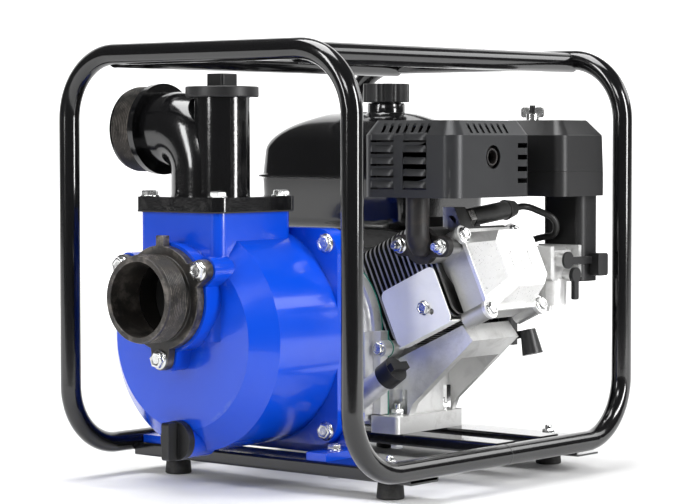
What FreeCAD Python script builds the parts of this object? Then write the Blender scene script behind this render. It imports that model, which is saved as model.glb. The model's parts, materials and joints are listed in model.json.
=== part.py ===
"""Gas engine trash pump: a self-priming 3 inch pump on a small overhead-valve engine, in a tube frame.

Axes: +Z up, -Y the suction side, +Y the recoil starter, +X the cylinder head, -X the discharge outlet.
The origin is on the ground, under the middle of the box round the whole machine. Millimetres.
"""
import FreeCAD, Part
import math
import os

from FreeCAD import Placement, Rotation, Vector

# ---- driving dimensions -------------------------------------------------------------------------
# tube frame
tube_d = 21.3
tube_wall = 2.0
frame_width = 378.0          # centre to centre of the side tubes
frame_length = 451.0         # centre to centre of the front and rear hoops
rail_z = 34.0                # centre of the bottom rails
top_z = 437.5                # centre of the top cross tubes
side_rail_drop = 3.0         # the top side rails sit a little lower
bend_r = 65.0
port_reach = 32.0            # how far the suction port stands out of the frame
# cross bars and feet
rear_bar_width = 76.0
bar_height = 14.0
bar_wall = 2.0
foot_r = 14.0
foot_height = 18.0
front_foot_x = 144.0
rear_foot_x = 112.0
rear_foot_y = 216.0
front_bar_y = -97.0
rear_bar_y = 200.0
# engine
crank_x = -50.0
engine_base_z = 46.0
crank_height = 106.0
cylinder_y = 79.0
mount_centre_y = 74.0
cylinder_tilt = 25.0
mount_pitch_x = 162.0
mount_pitch_y = 75.5
mount_row_x = 46.0           # the row of engine bolts on the head side
case_front_y = 28.0          # gasket face of the crankcase
case_rear_y = 128.0
case_r = 82.0
case_wall = 8.0
pto_face_y = -22.0
bore_r = 34.0
throw = 27.0
rod_length = 84.0
crown_height = 24.0
skirt_drop = 15.0
barrel_foot = 66.0           # distance from the crank axis to the barrel's seat
barrel_top = 136.0
head_top = 205.0
# pump
housing_r = 114.0
housing_front_y = -169.0
housing_flange_y = -78.0
housing_wall = 7.0
flange_half = 110.0
flange_thickness = 12.0
flange_bolt_offset = 95.0
port_z = 195.0
port_thread_r = 43.94
port_bore_r = 37.0
port_flange_y = -221.0
port_bolt_r = 61.0
top_plate_z = 279.0
top_plate_half = 60.0
plate_bolt_offset = 47.0
tower_y = -139.0
outlet_z = 362.5
outlet_x = -159.0
# fits and fasteners
fit_gap = 0.3                # parts on different bodies that nearly touch
shaft_gap = 0.05             # running fit, on the radius
m8_r = 4.0
m8_hole_r = 4.3
m8_flats = 13.0
m8_head = 6.0
m6_r = 3.0
m6_flats = 10.0
m6_head = 5.0
# cross bars
front_bar_width = 46.0
engine_bar_width = 34.0
engine_bar_height = 12.0
foot_head_r = 8.5
foot_head_depth = 10.0
foot_half = 19.0             # half width of an engine foot
foot_reach = 24.0
leg_offset = 114.0
leg_pad_half = 13.0
leg_bolt_back = 10.0         # the leg bolts stand behind the bar's middle
foot_thickness = 18.0
sump_bulge = 8.0             # how far the sump stands out under the cylinder
# pump details
neck_half = 56.0             # the square neck under the top plate
shaft_r = 12.5
impeller_r = 70.0
volute_r = 92.0
volute_front_y = -136.0
volute_wall = 6.0
prime_top_z = 394.0
prime_offset_x = 13.0
prime_offset_y = -4.0
prime_neck_r = 28.0
prime_bore_r = 22.0
riser_offset_x = -10.0
riser_r = 38.0
elbow_bend_r = 44.0
elbow_wall = 5.0
prime_cap_r = 37.0
shaft_front_y = -112.0
drain_r = 13.0
# crankcase and crank train
web_r = 40.0
web_gap = 28.0
web_thickness = 15.0
crankpin_r = 15.0
wrist_pin_r = 9.0
journal_r = 15.0
bearing_r = 26.0
bearing_width = 15.0
gasket_thickness = 0.8
lug_r = 9.0                  # round the crankcase cover's bolts
pto_bolt_r = 54.0
cover_bearing_y = -10.0
spigot_r = 40.0
oil_neck_x = 14.0
oil_neck_y = -2.0
oil_neck_z = 74.0
oil_neck_length = 56.0
oil_neck_slope = 35.0
flywheel_y0 = 140.0
flywheel_y1 = 162.0
# cylinder, head, exhaust and intake
fin_front = 28.0
fin_back = 124.0
fin_pitch = 6.5
fin_low = -56.0
fin_high = 52.0
fin_thickness = 2.4
head_block_u = 176.0
cover_low = -76.0
cover_high = 24.0
cover_half_y = 53.0
cover_flange_u = 4.0
plug_x = 114.0
plug_y = 62.0
plug_z = 270.0
exhaust_x = 98.0
exhaust_z = 243.0
exhaust_face_y = 16.0
exhaust_stud_x = 26.0
intake_x = 146.0
intake_z = 223.0
intake_face_y = 134.0
shield_bolt_u = 146.0
shield_bolt_v = -38.0
shield_y = 14.0
shield_thickness = 1.5
guard_x0 = 48.0
guard_x1 = 170.0
guard_y0 = -28.0
guard_y1 = 106.0
guard_z0 = 293.0
guard_z1 = 371.0
guard_thickness = 1.5
muffler_low = 299.0
muffler_high = 362.0
tail_y = 36.0
tail_z = 334.0
exhaust_pipe_x = 104.0
exhaust_pipe_y = -4.0
carb_y1 = 190.0
bowl_y = 166.0
pan_x0 = 84.0
pan_x1 = 182.0
pan_y0 = 140.0
pan_y1 = 224.0
pan_z0 = 292.0
pan_z1 = 318.0
cover_top_z = 372.0
wing_x = 118.0
wing_y = 176.0
lead_end_x = 66.0
# fuel tank, fan housing and starter
tank_x0 = -165.0
tank_x1 = 43.0
tank_y0 = 54.0
tank_y1 = 206.0
tank_z0 = 288.0
tank_seam_z = 312.0
tank_top_z = 382.0
cap_x = -31.0
cap_y = 112.0
fan_r = 100.0
fan_y0 = 132.0
fan_y1 = 196.0
recoil_r = 82.0
recoil_y1 = 227.0
reel_y0 = 200.0
reel_r = 62.0
reel_groove_r = 53.0         # the rope winds here
handle_x = 50.0
handle_y = 212.0
handle_z = 161.0
switch_x = 22.0
switch_z = 232.0
lever_x = 54.0
lever_z = 132.0
lever_length = 96.0
lever_slope = 10.0

# ---- derived places -----------------------------------------------------------------------------
tube_r = tube_d / 2
side_x = frame_width / 2
frame_y = port_reach / 2
front_y = frame_y - frame_length / 2
rear_y = frame_y + frame_length / 2
mouth_y = front_y - tube_r - port_reach
crank_z = engine_base_z + crank_height
crank_point = Vector(crank_x, 0, crank_z)
top_rail_x = side_x - bend_r - 2
seam_y = frame_y + 14
bar_top_z = foot_height + bar_height
engine_bar_top = engine_base_z
mount_xs = [mount_row_x, mount_row_x - mount_pitch_x]
mount_ys = [mount_centre_y - mount_pitch_y / 2, mount_centre_y + mount_pitch_y / 2]
foot_top_z = engine_base_z + foot_thickness
leg_y = front_bar_y + leg_bolt_back
sump_left = crank_x - case_r
sump_right = crank_x + case_r + sump_bulge

parts = {}


# ---- plain shapes -------------------------------------------------------------------------------
def box(x0, x1, y0, y1, z0, z1):
    return Part.makeBox(x1 - x0, y1 - y0, z1 - z0, Vector(x0, y0, z0))


def rod(x, y, z, axis, r, length):
    """Cylinder from a start point along an axis."""
    return Part.makeCylinder(r, length, Vector(x, y, z), Vector(*axis))


def along_y(x, z, r, y0, y1):
    return Part.makeCylinder(r, y1 - y0, Vector(x, y0, z), Vector(0, 1, 0))


def along_z(x, y, r, z0, z1):
    return Part.makeCylinder(r, z1 - z0, Vector(x, y, z0))


def cone_y(x, z, r0, r1, y0, y1):
    return Part.makeCone(r0, r1, y1 - y0, Vector(x, y0, z), Vector(0, 1, 0))


def round_box(x0, x1, y0, y1, z0, z1, r, axis="z"):
    """Box whose four edges along one axis are rounded."""
    shape = box(x0, x1, y0, y1, z0, z1)
    pick = {"x": 0, "y": 1, "z": 2}[axis]
    edges = []
    for edge in shape.Edges:
        a, b = edge.Vertexes[0].Point, edge.Vertexes[1].Point
        if abs(a[pick] - b[pick]) > 1e-6:
            edges.append(edge)
    return shape.makeFillet(r, edges)


def prism(points, start, push):
    """Closed outline of (x, z) points, set at y = start and pushed along Y."""
    outline = [Vector(x, start, z) for x, z in points]
    outline.append(outline[0])
    return Part.Face(Part.makePolygon(outline)).extrude(Vector(0, push, 0))


def hexagon(flats, height):
    corner_r = flats / math.sqrt(3)
    points = [Vector(corner_r * math.cos(i * math.pi / 3), corner_r * math.sin(i * math.pi / 3), 0)
              for i in range(7)]
    return Part.Face(Part.makePolygon(points)).extrude(Vector(0, 0, height))


def place(shape, at, axis):
    """Turn a shape built along +Z to lie along an axis, then move it."""
    shape = shape.copy()
    shape.Placement = Placement(Vector(*at), Rotation(Vector(0, 0, 1), Vector(*axis)))
    return shape


def bolt(at, axis, r, flats, head, shank, washer=1.2):
    """Flanged hexagon bolt: the head rises from the seat along the axis, the shank goes the other way."""
    shape = Part.makeCylinder(flats * 0.68, washer)
    cap = hexagon(flats, head - washer)
    cap.translate(Vector(0, 0, washer))
    stem = Part.makeCylinder(r, shank, Vector(0, 0, -shank))
    return place(shape.fuse([cap, stem]).removeSplitter(), at, axis)


def nut_on_stud(at, axis, r, flats, height, below, above):
    """Nut seated at a point, with its stud running below and above the seat."""
    shape = hexagon(flats, height)
    stud = Part.makeCylinder(r, below + above, Vector(0, 0, -below))
    return place(shape.fuse(stud), at, axis)


def tilted(shape):
    """Swing a shape built along +X from the crank axis up to the cylinder's slope."""
    shape = shape.copy()
    shape.rotate(crank_point, Vector(0, 1, 0), -cylinder_tilt)
    return shape


def ubox(u0, u1, y0, y1, v0, v1, r=0.0, axis="x"):
    """Box in the cylinder's own axes: u outward from the crank, v across it, four edges rounded."""
    sizes = (crank_x + u0, crank_x + u1, y0, y1, crank_z + v0, crank_z + v1)
    shape = round_box(*sizes, r, axis) if r else box(*sizes)
    return tilted(shape)


def ucyl(u0, u1, r, y=cylinder_y, v=0.0):
    """Cylinder along the bore."""
    return tilted(rod(crank_x + u0, y, crank_z + v, (1, 0, 0), r, u1 - u0))


def ucross(u, v, r, y0, y1):
    """Cylinder across the bore, parallel to the crankshaft."""
    return tilted(along_y(crank_x + u, crank_z + v, r, y0, y1))


def upoint(u, y, v):
    """Point given in the cylinder's own axes."""
    turn = math.radians(cylinder_tilt)
    x = crank_x + u * math.cos(turn) - v * math.sin(turn)
    z = crank_z + u * math.sin(turn) + v * math.cos(turn)
    return Vector(x, y, z)


def group(shapes):
    return Part.makeCompound(shapes)


def turned(points):
    """Solid of revolution about the pump's axis, from (radius, y) points."""
    outline = [Vector(crank_x + r, y, crank_z) for r, y in points]
    outline.append(outline[0])
    face = Part.Face(Part.makePolygon(outline))
    return face.revolve(Vector(crank_x, 0, crank_z), Vector(0, 1, 0), 360)


def bent_path(points, radius_at):
    """Wire of straight runs joined by tangent arcs."""
    edges = []
    last = points[0]
    for i in range(1, len(points) - 1):
        before = (points[i - 1] - points[i]).normalize()
        after = (points[i + 1] - points[i]).normalize()
        half = before.getAngle(after) / 2
        radius = radius_at(i, points, math.pi / 2 - half)
        setback = radius / math.tan(half)
        start = points[i] + before * setback
        end = points[i] + after * setback
        bisector = (before + after).normalize()
        middle = points[i] + bisector * (radius / math.sin(half) - radius)
        edges.append(Part.LineSegment(last, start).toShape())
        edges.append(Part.Arc(start, middle, end).toShape())
        last = end
    edges.append(Part.LineSegment(last, points[-1]).toShape())
    return Part.Wire(edges)


def pipe(path, r):
    first = path.Edges[0]
    start = first.valueAt(first.FirstParameter)
    direction = first.tangentAt(first.FirstParameter)
    ring = Part.Wire(Part.makeCircle(r, start, direction))
    return path.makePipeShell([ring], True, False)


# ---- tube frame ---------------------------------------------------------------------------------
def hoop_path(hoop_y):
    """From one bottom seam, up one post, over the top and down to the other seam."""
    points = [Vector(-side_x, seam_y, rail_z), Vector(-side_x, hoop_y, rail_z),
              Vector(-side_x, hoop_y, top_z), Vector(side_x, hoop_y, top_z),
              Vector(side_x, hoop_y, rail_z), Vector(side_x, seam_y, rail_z)]
    return bent_path(points, lambda i, p, turn: bend_r)


def make_frame():
    solid_hoops = []
    for name, hoop_y in (("front_hoop", front_y), ("rear_hoop", rear_y)):
        path = hoop_path(hoop_y)
        outer = pipe(path, tube_r)
        solid_hoops.append(outer)
        parts[name] = outer.cut(pipe(path, tube_r - tube_wall))
    for name, x in (("top_rail_right", top_rail_x), ("top_rail_left", -top_rail_x)):
        rail_top = top_z - side_rail_drop
        rail = along_y(x, rail_top, tube_r, front_y, rear_y)
        rail = rail.cut(along_y(x, rail_top, tube_r - tube_wall, front_y, rear_y))
        parts[name] = rail.cut(solid_hoops)
    def cross_bar(y, width, z0, z1, holes):
        reach = side_x - 3
        bar = round_box(-reach, reach, y - width / 2, y + width / 2, z0, z1, 2.5, "x")
        hollow = box(-reach - 1, reach + 1, y - width / 2 + bar_wall, y + width / 2 - bar_wall,
                     z0 + bar_wall, z1 - bar_wall)
        bar = bar.cut(hollow)
        bar = bar.cut(solid_hoops)
        return bar.cut([along_z(x, hole_y, m8_hole_r, z0 - 1, z1 + 1) for x, hole_y in holes])

    front_feet = [(s * front_foot_x, front_bar_y) for s in (-1, 1)]
    rear_feet = [(s * rear_foot_x, rear_foot_y) for s in (-1, 1)]
    leg_holes = [(crank_x + s * leg_offset, leg_y) for s in (-1, 1)]
    parts["front_cross_bar"] = cross_bar(front_bar_y, front_bar_width, foot_height, bar_top_z,
                                         front_feet + leg_holes)
    # the wide rear bar has its two outer corners cut off, clear of the rails' bends
    rear_edge = rear_bar_y + rear_bar_width / 2
    corners = []
    for s in (-1, 1):
        outline = [Vector(s * (rear_foot_x + 20), rear_edge + 1, foot_height - 1),
                   Vector(s * side_x, rear_edge + 1, foot_height - 1),
                   Vector(s * side_x, rear_bar_y, foot_height - 1)]
        outline.append(outline[0])
        corners.append(Part.Face(Part.makePolygon(outline)).extrude(Vector(0, 0, bar_height + 2)))
    rear_bar = cross_bar(rear_bar_y, rear_bar_width, foot_height, bar_top_z, rear_feet)
    parts["rear_cross_bar"] = rear_bar.cut(corners)
    bars = []
    for y in mount_ys:
        bars.append(cross_bar(y, engine_bar_width, engine_bar_top - engine_bar_height, engine_bar_top,
                              [(x, y) for x in mount_xs]))
    parts["engine_cross_bars"] = group(bars)

    feet = []
    bolts = []
    for x, y in front_feet + rear_feet:
        foot = Part.makeCone(foot_r, foot_r - 1.5, foot_height, Vector(x, y, 0))
        foot = foot.cut([along_z(x, y, m8_hole_r, -1, foot_height + 1),
                         along_z(x, y, foot_head_r, -1, foot_head_depth)])
        feet.append(foot)
        shank = along_z(x, y, m8_r, foot_head_depth - m8_head, bar_top_z + m8_head + 4)
        head = hexagon(m8_flats, m8_head)
        head.translate(Vector(x, y, foot_head_depth - m8_head))
        nut = hexagon(m8_flats, m8_head)
        nut.translate(Vector(x, y, bar_top_z))
        bolts.append(shank.fuse([head, nut]))
    for x in mount_xs:
        for y in mount_ys:
            low = engine_bar_top - engine_bar_height
            shank = along_z(x, y, m8_r, low - m8_head, foot_top_z + m8_head + 6)
            head = hexagon(m8_flats, m8_head)
            head.translate(Vector(x, y, low - m8_head))
            nut = hexagon(m8_flats, m8_head)
            nut.translate(Vector(x, y, foot_top_z))
            bolts.append(shank.fuse([head, nut]))
    parts["rubber_feet"] = group(feet)
    parts["base_bolts"] = group(bolts)


# ---- pump ---------------------------------------------------------------------------------------
def ear_plate(x, z, y0, y1, r, bolt_angles, bolt_r, ear_r):
    """Round flange with bolt ears."""
    plate = along_y(x, z, r, y0, y1)
    ears = []
    for angle in bolt_angles:
        a = math.radians(angle)
        ex = x + bolt_r * math.cos(a)
        ez = z + bolt_r * math.sin(a)
        ears.append(along_y(ex, ez, ear_r, y0, y1))
        side = Vector(-math.sin(a), 0, math.cos(a))
        centre = Vector(x, y0, z)
        tip = Vector(ex, y0, ez)
        corners = [centre + side * (ear_r + 10), tip + side * ear_r, tip - side * ear_r,
                   centre - side * (ear_r + 10)]
        corners.append(corners[0])
        ears.append(Part.Face(Part.makePolygon(corners)).extrude(Vector(0, y1 - y0, 0)))
    return plate.fuse(ears).removeSplitter()


def make_pump():
    bolts = []
    port_angles = (28, 150, 270)
    boss_y = port_flange_y + 10
    # threaded suction port with its three-ear flange
    port = ear_plate(crank_x, port_z, port_flange_y, boss_y, 52, port_angles, port_bolt_r, 11)
    port = port.fuse([along_y(crank_x, port_z, port_thread_r, mouth_y, port_flange_y),
                      box(crank_x - 5, crank_x + 5, port_flange_y, boss_y, port_z + 48, port_z + 62)])
    port = port.cut(along_y(crank_x, port_z, port_bore_r, mouth_y - 1, boss_y + 1))
    ear_points = []
    for angle in port_angles:
        a = math.radians(angle)
        ear_points.append((crank_x + port_bolt_r * math.cos(a), port_z + port_bolt_r * math.sin(a)))
    for x, z in ear_points:
        port = port.cut(along_y(x, z, m8_hole_r, port_flange_y - 1, boss_y + 1))
        bolts.append(bolt((x, port_flange_y, z), (0, -1, 0), m8_r, m8_flats, m8_head, 24))
    parts["suction_port"] = port.removeSplitter()

    # housing: round body, sloped front, square neck and square rear flange
    axis = (crank_x, crank_z)
    nose_y = housing_front_y - 21
    nose_r = housing_r - 23
    rim_back = housing_flange_y + flange_thickness
    body = turned([(0, nose_y), (nose_r, nose_y), (housing_r, housing_front_y),
                   (housing_r, housing_flange_y + 1), (0, housing_flange_y + 1)])
    neck_y0 = tower_y - neck_half
    neck_y1 = tower_y + neck_half
    neck = round_box(crank_x - neck_half, crank_x + neck_half, neck_y0, neck_y1, crank_z, top_plate_z, 12)
    boss = ear_plate(crank_x, port_z, boss_y, neck_y0 + 12, 55, port_angles, port_bolt_r, 13)
    rim = round_box(crank_x - flange_half, crank_x + flange_half, housing_flange_y,
                    housing_flange_y + flange_thickness, crank_z - flange_half, crank_z + flange_half,
                    26, "y")
    drain_z = crank_z - housing_r + drain_r
    drain = along_y(crank_x, drain_z, 19, nose_y - 1, housing_front_y + 12)
    housing = body.fuse([neck, boss, rim, drain])
    hollow_r = housing_r - housing_wall
    inner = turned([(0, nose_y + housing_wall), (nose_r - housing_wall, nose_y + housing_wall),
                    (hollow_r, housing_front_y), (hollow_r, rim_back + 1), (0, rim_back + 1)])
    neck_in = neck_half - housing_wall
    inner = inner.fuse(box(crank_x - neck_in, crank_x + neck_in, neck_y0 + housing_wall,
                           neck_y1 - housing_wall, crank_z, top_plate_z + 1))
    inner = inner.fuse(along_y(crank_x, port_z, port_bore_r, boss_y - 1, neck_y0 + 20))
    inner = inner.fuse(along_y(crank_x, drain_z, drain_r, nose_y - 2, housing_front_y + 20))
    plate_points = [(crank_x + sx * plate_bolt_offset, tower_y + sy * plate_bolt_offset)
                    for sx in (-1, 1) for sy in (-1, 1)]
    inner = inner.cut([along_z(x, y, 8.5, top_plate_z - 30, top_plate_z + 2) for x, y in plate_points])
    housing = housing.cut(inner)
    rim_points = [(crank_x + sx * flange_bolt_offset, crank_z + sz * flange_bolt_offset)
                  for sx in (-1, 1) for sz in (-1, 1)]
    for x, z in rim_points:
        housing = housing.cut(along_y(x, z, m8_hole_r, housing_flange_y - 1, rim_back + 1))
        bolts.append(bolt((x, housing_flange_y, z), (0, -1, 0), m8_r, m8_flats, m8_head, 26))
    for x, z in ear_points:
        housing = housing.cut(along_y(x, z, m8_r, boss_y - 1, port_flange_y + 24))
    for x, y in plate_points:
        housing = housing.cut(along_z(x, y, m8_r, top_plate_z - 22, top_plate_z + 1))
    parts["pump_housing"] = housing.removeSplitter()

    # bracket between pump and engine, standing on the front cross bar
    plate = round_box(crank_x - flange_half, crank_x + flange_half, rim_back, rim_back + 10,
                      crank_z - flange_half, crank_z + flange_half, 26, "y")
    barrel = cone_y(*axis, 78, 62, rim_back + 10, pto_face_y)
    bracket = plate.fuse(barrel)
    foot_y0 = front_bar_y - front_bar_width / 2 + 4
    pad_reach = leg_offset + leg_pad_half
    leg_low = box(crank_x - pad_reach, crank_x + pad_reach, foot_y0, rim_back + 10, bar_top_z, bar_top_z + 8)
    inside = leg_offset - leg_pad_half
    leg_low = leg_low.cut([box(crank_x - inside, crank_x + inside, foot_y0 - 1, rim_back, bar_top_z - 1,
                               bar_top_z + 9),
                           along_z(-front_foot_x, front_bar_y, 10, bar_top_z - 1, bar_top_z + 9)])
    legs = []
    for s in (-1, 1):
        x0 = crank_x + s * leg_offset
        legs.append(box(x0 - leg_pad_half, x0 + leg_pad_half, rim_back, rim_back + 10, bar_top_z,
                        crank_z - flange_half + 34))
        legs.append(box(min(x0, x0 - s * 40), max(x0, x0 - s * 40), rim_back, rim_back + 10,
                        bar_top_z, crank_z - flange_half + 34))
    bracket = bracket.fuse([leg_low] + legs)
    bracket = bracket.cut([along_y(*axis, 46, rim_back + 14, pto_face_y + 1),
                           along_y(*axis, 16, rim_back - 1, pto_face_y + 1)])
    for x, z in rim_points:
        bracket = bracket.cut(along_y(x, z, m8_r, rim_back - 1, rim_back + 16))
    for s in (-1, 1):
        x = crank_x + s * leg_offset
        bracket = bracket.cut(along_z(x, leg_y, m8_hole_r, bar_top_z - 1, bar_top_z + 9))
        nut_low = foot_height
        shank = along_z(x, leg_y, m8_r, nut_low - m8_head, bar_top_z + 8)
        head = hexagon(m8_flats, m8_head)
        head.translate(Vector(x, leg_y, bar_top_z + 8))
        nut = hexagon(m8_flats, m8_head)
        nut.translate(Vector(x, leg_y, nut_low - m8_head))
        bolts.append(shank.fuse([head, nut]))
    pto_angles = (45, 135, 225, 315)
    for angle in pto_angles:
        a = math.radians(angle)
        x = crank_x + pto_bolt_r * math.cos(a)
        z = crank_z + pto_bolt_r * math.sin(a)
        bracket = bracket.cut(along_y(x, z, m8_hole_r, rim_back - 1, pto_face_y + 1))
        bracket = bracket.cut(along_y(x, z, 9, rim_back - 1, pto_face_y - 12))
        bolts.append(bolt((x, pto_face_y - 12, z), (0, -1, 0), m8_r, m8_flats, m8_head, 26))
    parts["pump_bracket"] = bracket.removeSplitter()

    # volute round the impeller, seated on the bracket plate
    volute = along_y(*axis, volute_r, volute_front_y, rim_back)
    volute = volute.cut([along_y(*axis, impeller_r + 8, volute_front_y + volute_wall, rim_back + 1),
                         along_y(*axis, 32, volute_front_y - 1, volute_front_y + volute_wall + 1)])
    throat = box(crank_x + 40, crank_x + 62, volute_front_y + 14, rim_back - 10,
                 crank_z + 40, crank_z + 100)
    volute = volute.cut(throat)
    parts["volute"] = volute

    # open impeller on the shaft's end
    back_y = rim_back - 18
    disc = along_y(*axis, impeller_r, back_y - 6, back_y)
    hub = along_y(*axis, 24, back_y - 44, back_y + 2)
    vanes = []
    for i in range(4):
        outer = along_y(crank_x + 37, crank_z, 41, back_y - 40, back_y - 3)
        outer = outer.cut(along_y(crank_x + 40, crank_z - 4, 36, back_y - 41, back_y - 2))
        outer = outer.common(along_y(*axis, impeller_r, back_y - 41, back_y - 2))
        outer = outer.common(box(crank_x, crank_x + 90, back_y - 41, back_y - 2, crank_z, crank_z + 90))
        outer.rotate(Vector(crank_x, 0, crank_z), Vector(0, 1, 0), 90 * i)
        vanes.append(outer)
    impeller = disc.fuse([hub] + vanes)
    impeller = impeller.cut(along_y(*axis, shaft_r, shaft_front_y, back_y + 3))
    parts["impeller"] = impeller.removeSplitter()
    seal = along_y(*axis, 22, back_y + 2 + fit_gap, rim_back)
    parts["mechanical_seal"] = seal.cut(along_y(*axis, shaft_r + 1, back_y, rim_back + 1))

    # rubber check valve hanging behind the suction port
    flap_y = neck_y0 + housing_wall + fit_gap
    hinge_z = port_z + port_bore_r + 6
    flap = along_y(crank_x, port_z, port_bore_r + 4, flap_y, flap_y + 5)
    flap = flap.fuse(box(crank_x - 14, crank_x + 14, flap_y, flap_y + 5, port_z, hinge_z))
    flap = flap.fuse(rod(crank_x - 16, flap_y + 2.5, hinge_z, (1, 0, 0), 2.5, 32))
    parts["check_valve_flap"] = flap.fuse(along_y(crank_x, port_z, 20, flap_y + 5, flap_y + 9))

    # drain plug with a wing
    plug = along_y(crank_x, drain_z, drain_r - shaft_gap, nose_y + 8, housing_front_y + 6)
    plug = plug.fuse([along_y(crank_x, drain_z, 20, nose_y - 10, nose_y - 1 - fit_gap),
                      along_y(crank_x, drain_z, drain_r - shaft_gap, nose_y - 2, nose_y + 9),
                      round_box(crank_x - 5, crank_x + 5, nose_y - 24, nose_y - 10, drain_z - 19,
                                drain_z + 19, 3, "x")])
    parts["drain_plug"] = plug.removeSplitter()

    # discharge elbow: foot plate, riser, side outlet and priming neck
    gasket_top = top_plate_z + 1.5
    plate_top = gasket_top + 14
    half = top_plate_half
    plate = round_box(crank_x - half, crank_x + half, tower_y - half, tower_y + half, gasket_top,
                      plate_top, 14)
    riser_x = crank_x + riser_offset_x
    ring_inner_x = outlet_x + 32
    riser_points = [Vector(riser_x, tower_y, plate_top), Vector(riser_x, tower_y, outlet_z),
                    Vector(ring_inner_x, tower_y, outlet_z)]
    riser_path = bent_path(riser_points, lambda i, p, turn: elbow_bend_r)
    riser = pipe(riser_path, riser_r)
    ring = rod(outlet_x, tower_y, outlet_z, (1, 0, 0), port_thread_r, 34)
    collar = rod(ring_inner_x - 2, tower_y, outlet_z, (1, 0, 0), port_thread_r + 3, 7)
    prime_x = crank_x + prime_offset_x
    prime_y = tower_y + prime_offset_y
    neck = along_z(prime_x, prime_y, prime_neck_r, plate_top, prime_top_z)
    elbow = plate.fuse([riser, ring, collar, neck])
    bore_points = [Vector(riser_x, tower_y, gasket_top - 1), Vector(riser_x, tower_y, outlet_z),
                   Vector(outlet_x - 1, tower_y, outlet_z)]
    bore = pipe(bent_path(bore_points, lambda i, p, turn: elbow_bend_r), riser_r - elbow_wall)
    elbow = elbow.cut([bore, along_z(prime_x, prime_y, prime_bore_r, gasket_top - 1, prime_top_z + 1),
                       along_z(prime_x, prime_y, prime_cap_r + 2, prime_top_z, prime_top_z + 20)])
    for x, y in plate_points:
        elbow = elbow.cut(along_z(x, y, m8_hole_r, gasket_top - 1, plate_top + 1))
        spot = along_z(x, y, 10, plate_top, plate_top + 30)
        elbow = elbow.cut(spot)
        bolts.append(bolt((x, y, plate_top), (0, 0, 1), m8_r, m8_flats, m8_head, 34))
    parts["discharge_elbow"] = elbow.removeSplitter()
    gasket = round_box(crank_x - half, crank_x + half, tower_y - half, tower_y + half, top_plate_z,
                       gasket_top, 14)
    gasket = gasket.cut(box(crank_x - 38, crank_x + 38, tower_y - 38, tower_y + 38, top_plate_z - 1,
                            gasket_top + 1))
    for x, y in plate_points:
        gasket = gasket.cut(along_z(x, y, m8_hole_r, top_plate_z - 1, gasket_top + 1))
    parts["discharge_gasket"] = gasket

    # priming cap with its finger block
    cap = along_z(prime_x, prime_y, prime_cap_r, prime_top_z + fit_gap, prime_top_z + 11)
    cap = cap.fuse([round_box(prime_x - 11.5, prime_x + 11.5, prime_y - 11.5, prime_y + 11.5,
                              prime_top_z + 11, prime_top_z + 24, 3),
                    along_z(prime_x, prime_y, prime_bore_r - shaft_gap, prime_top_z - 14, prime_top_z + 2)])
    parts["priming_cap"] = cap.removeSplitter()
    parts["pump_bolts"] = group(bolts)


# ---- engine: crankcase and crank train ----------------------------------------------------------
def case_outline(y0, y1, grow=0.0):
    """Round crankcase with a square sump below it."""
    shape = along_y(crank_x, crank_z, case_r + grow, y0, y1)
    return shape.fuse(box(sump_left - grow, sump_right + grow, y0, y1, engine_base_z + 8 - grow, crank_z))


def case_hollow(y0, y1):
    shape = along_y(crank_x, crank_z, case_r - case_wall, y0, y1)
    return shape.fuse(box(sump_left + case_wall, sump_right - case_wall, y0, y1,
                          engine_base_z + 8 + case_wall, crank_z - 3 * case_wall))


def cover_bolt_points():
    points = [(sump_right - 2, crank_z - 18), (crank_x + 40, engine_base_z + 17),
              (crank_x - 40, engine_base_z + 17), (sump_left - 2, crank_z - 18)]
    for angle in (76, 125):
        a = math.radians(angle)
        points.append((crank_x + (case_r + 3) * math.cos(a), crank_z + (case_r + 3) * math.sin(a)))
    return points


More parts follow.
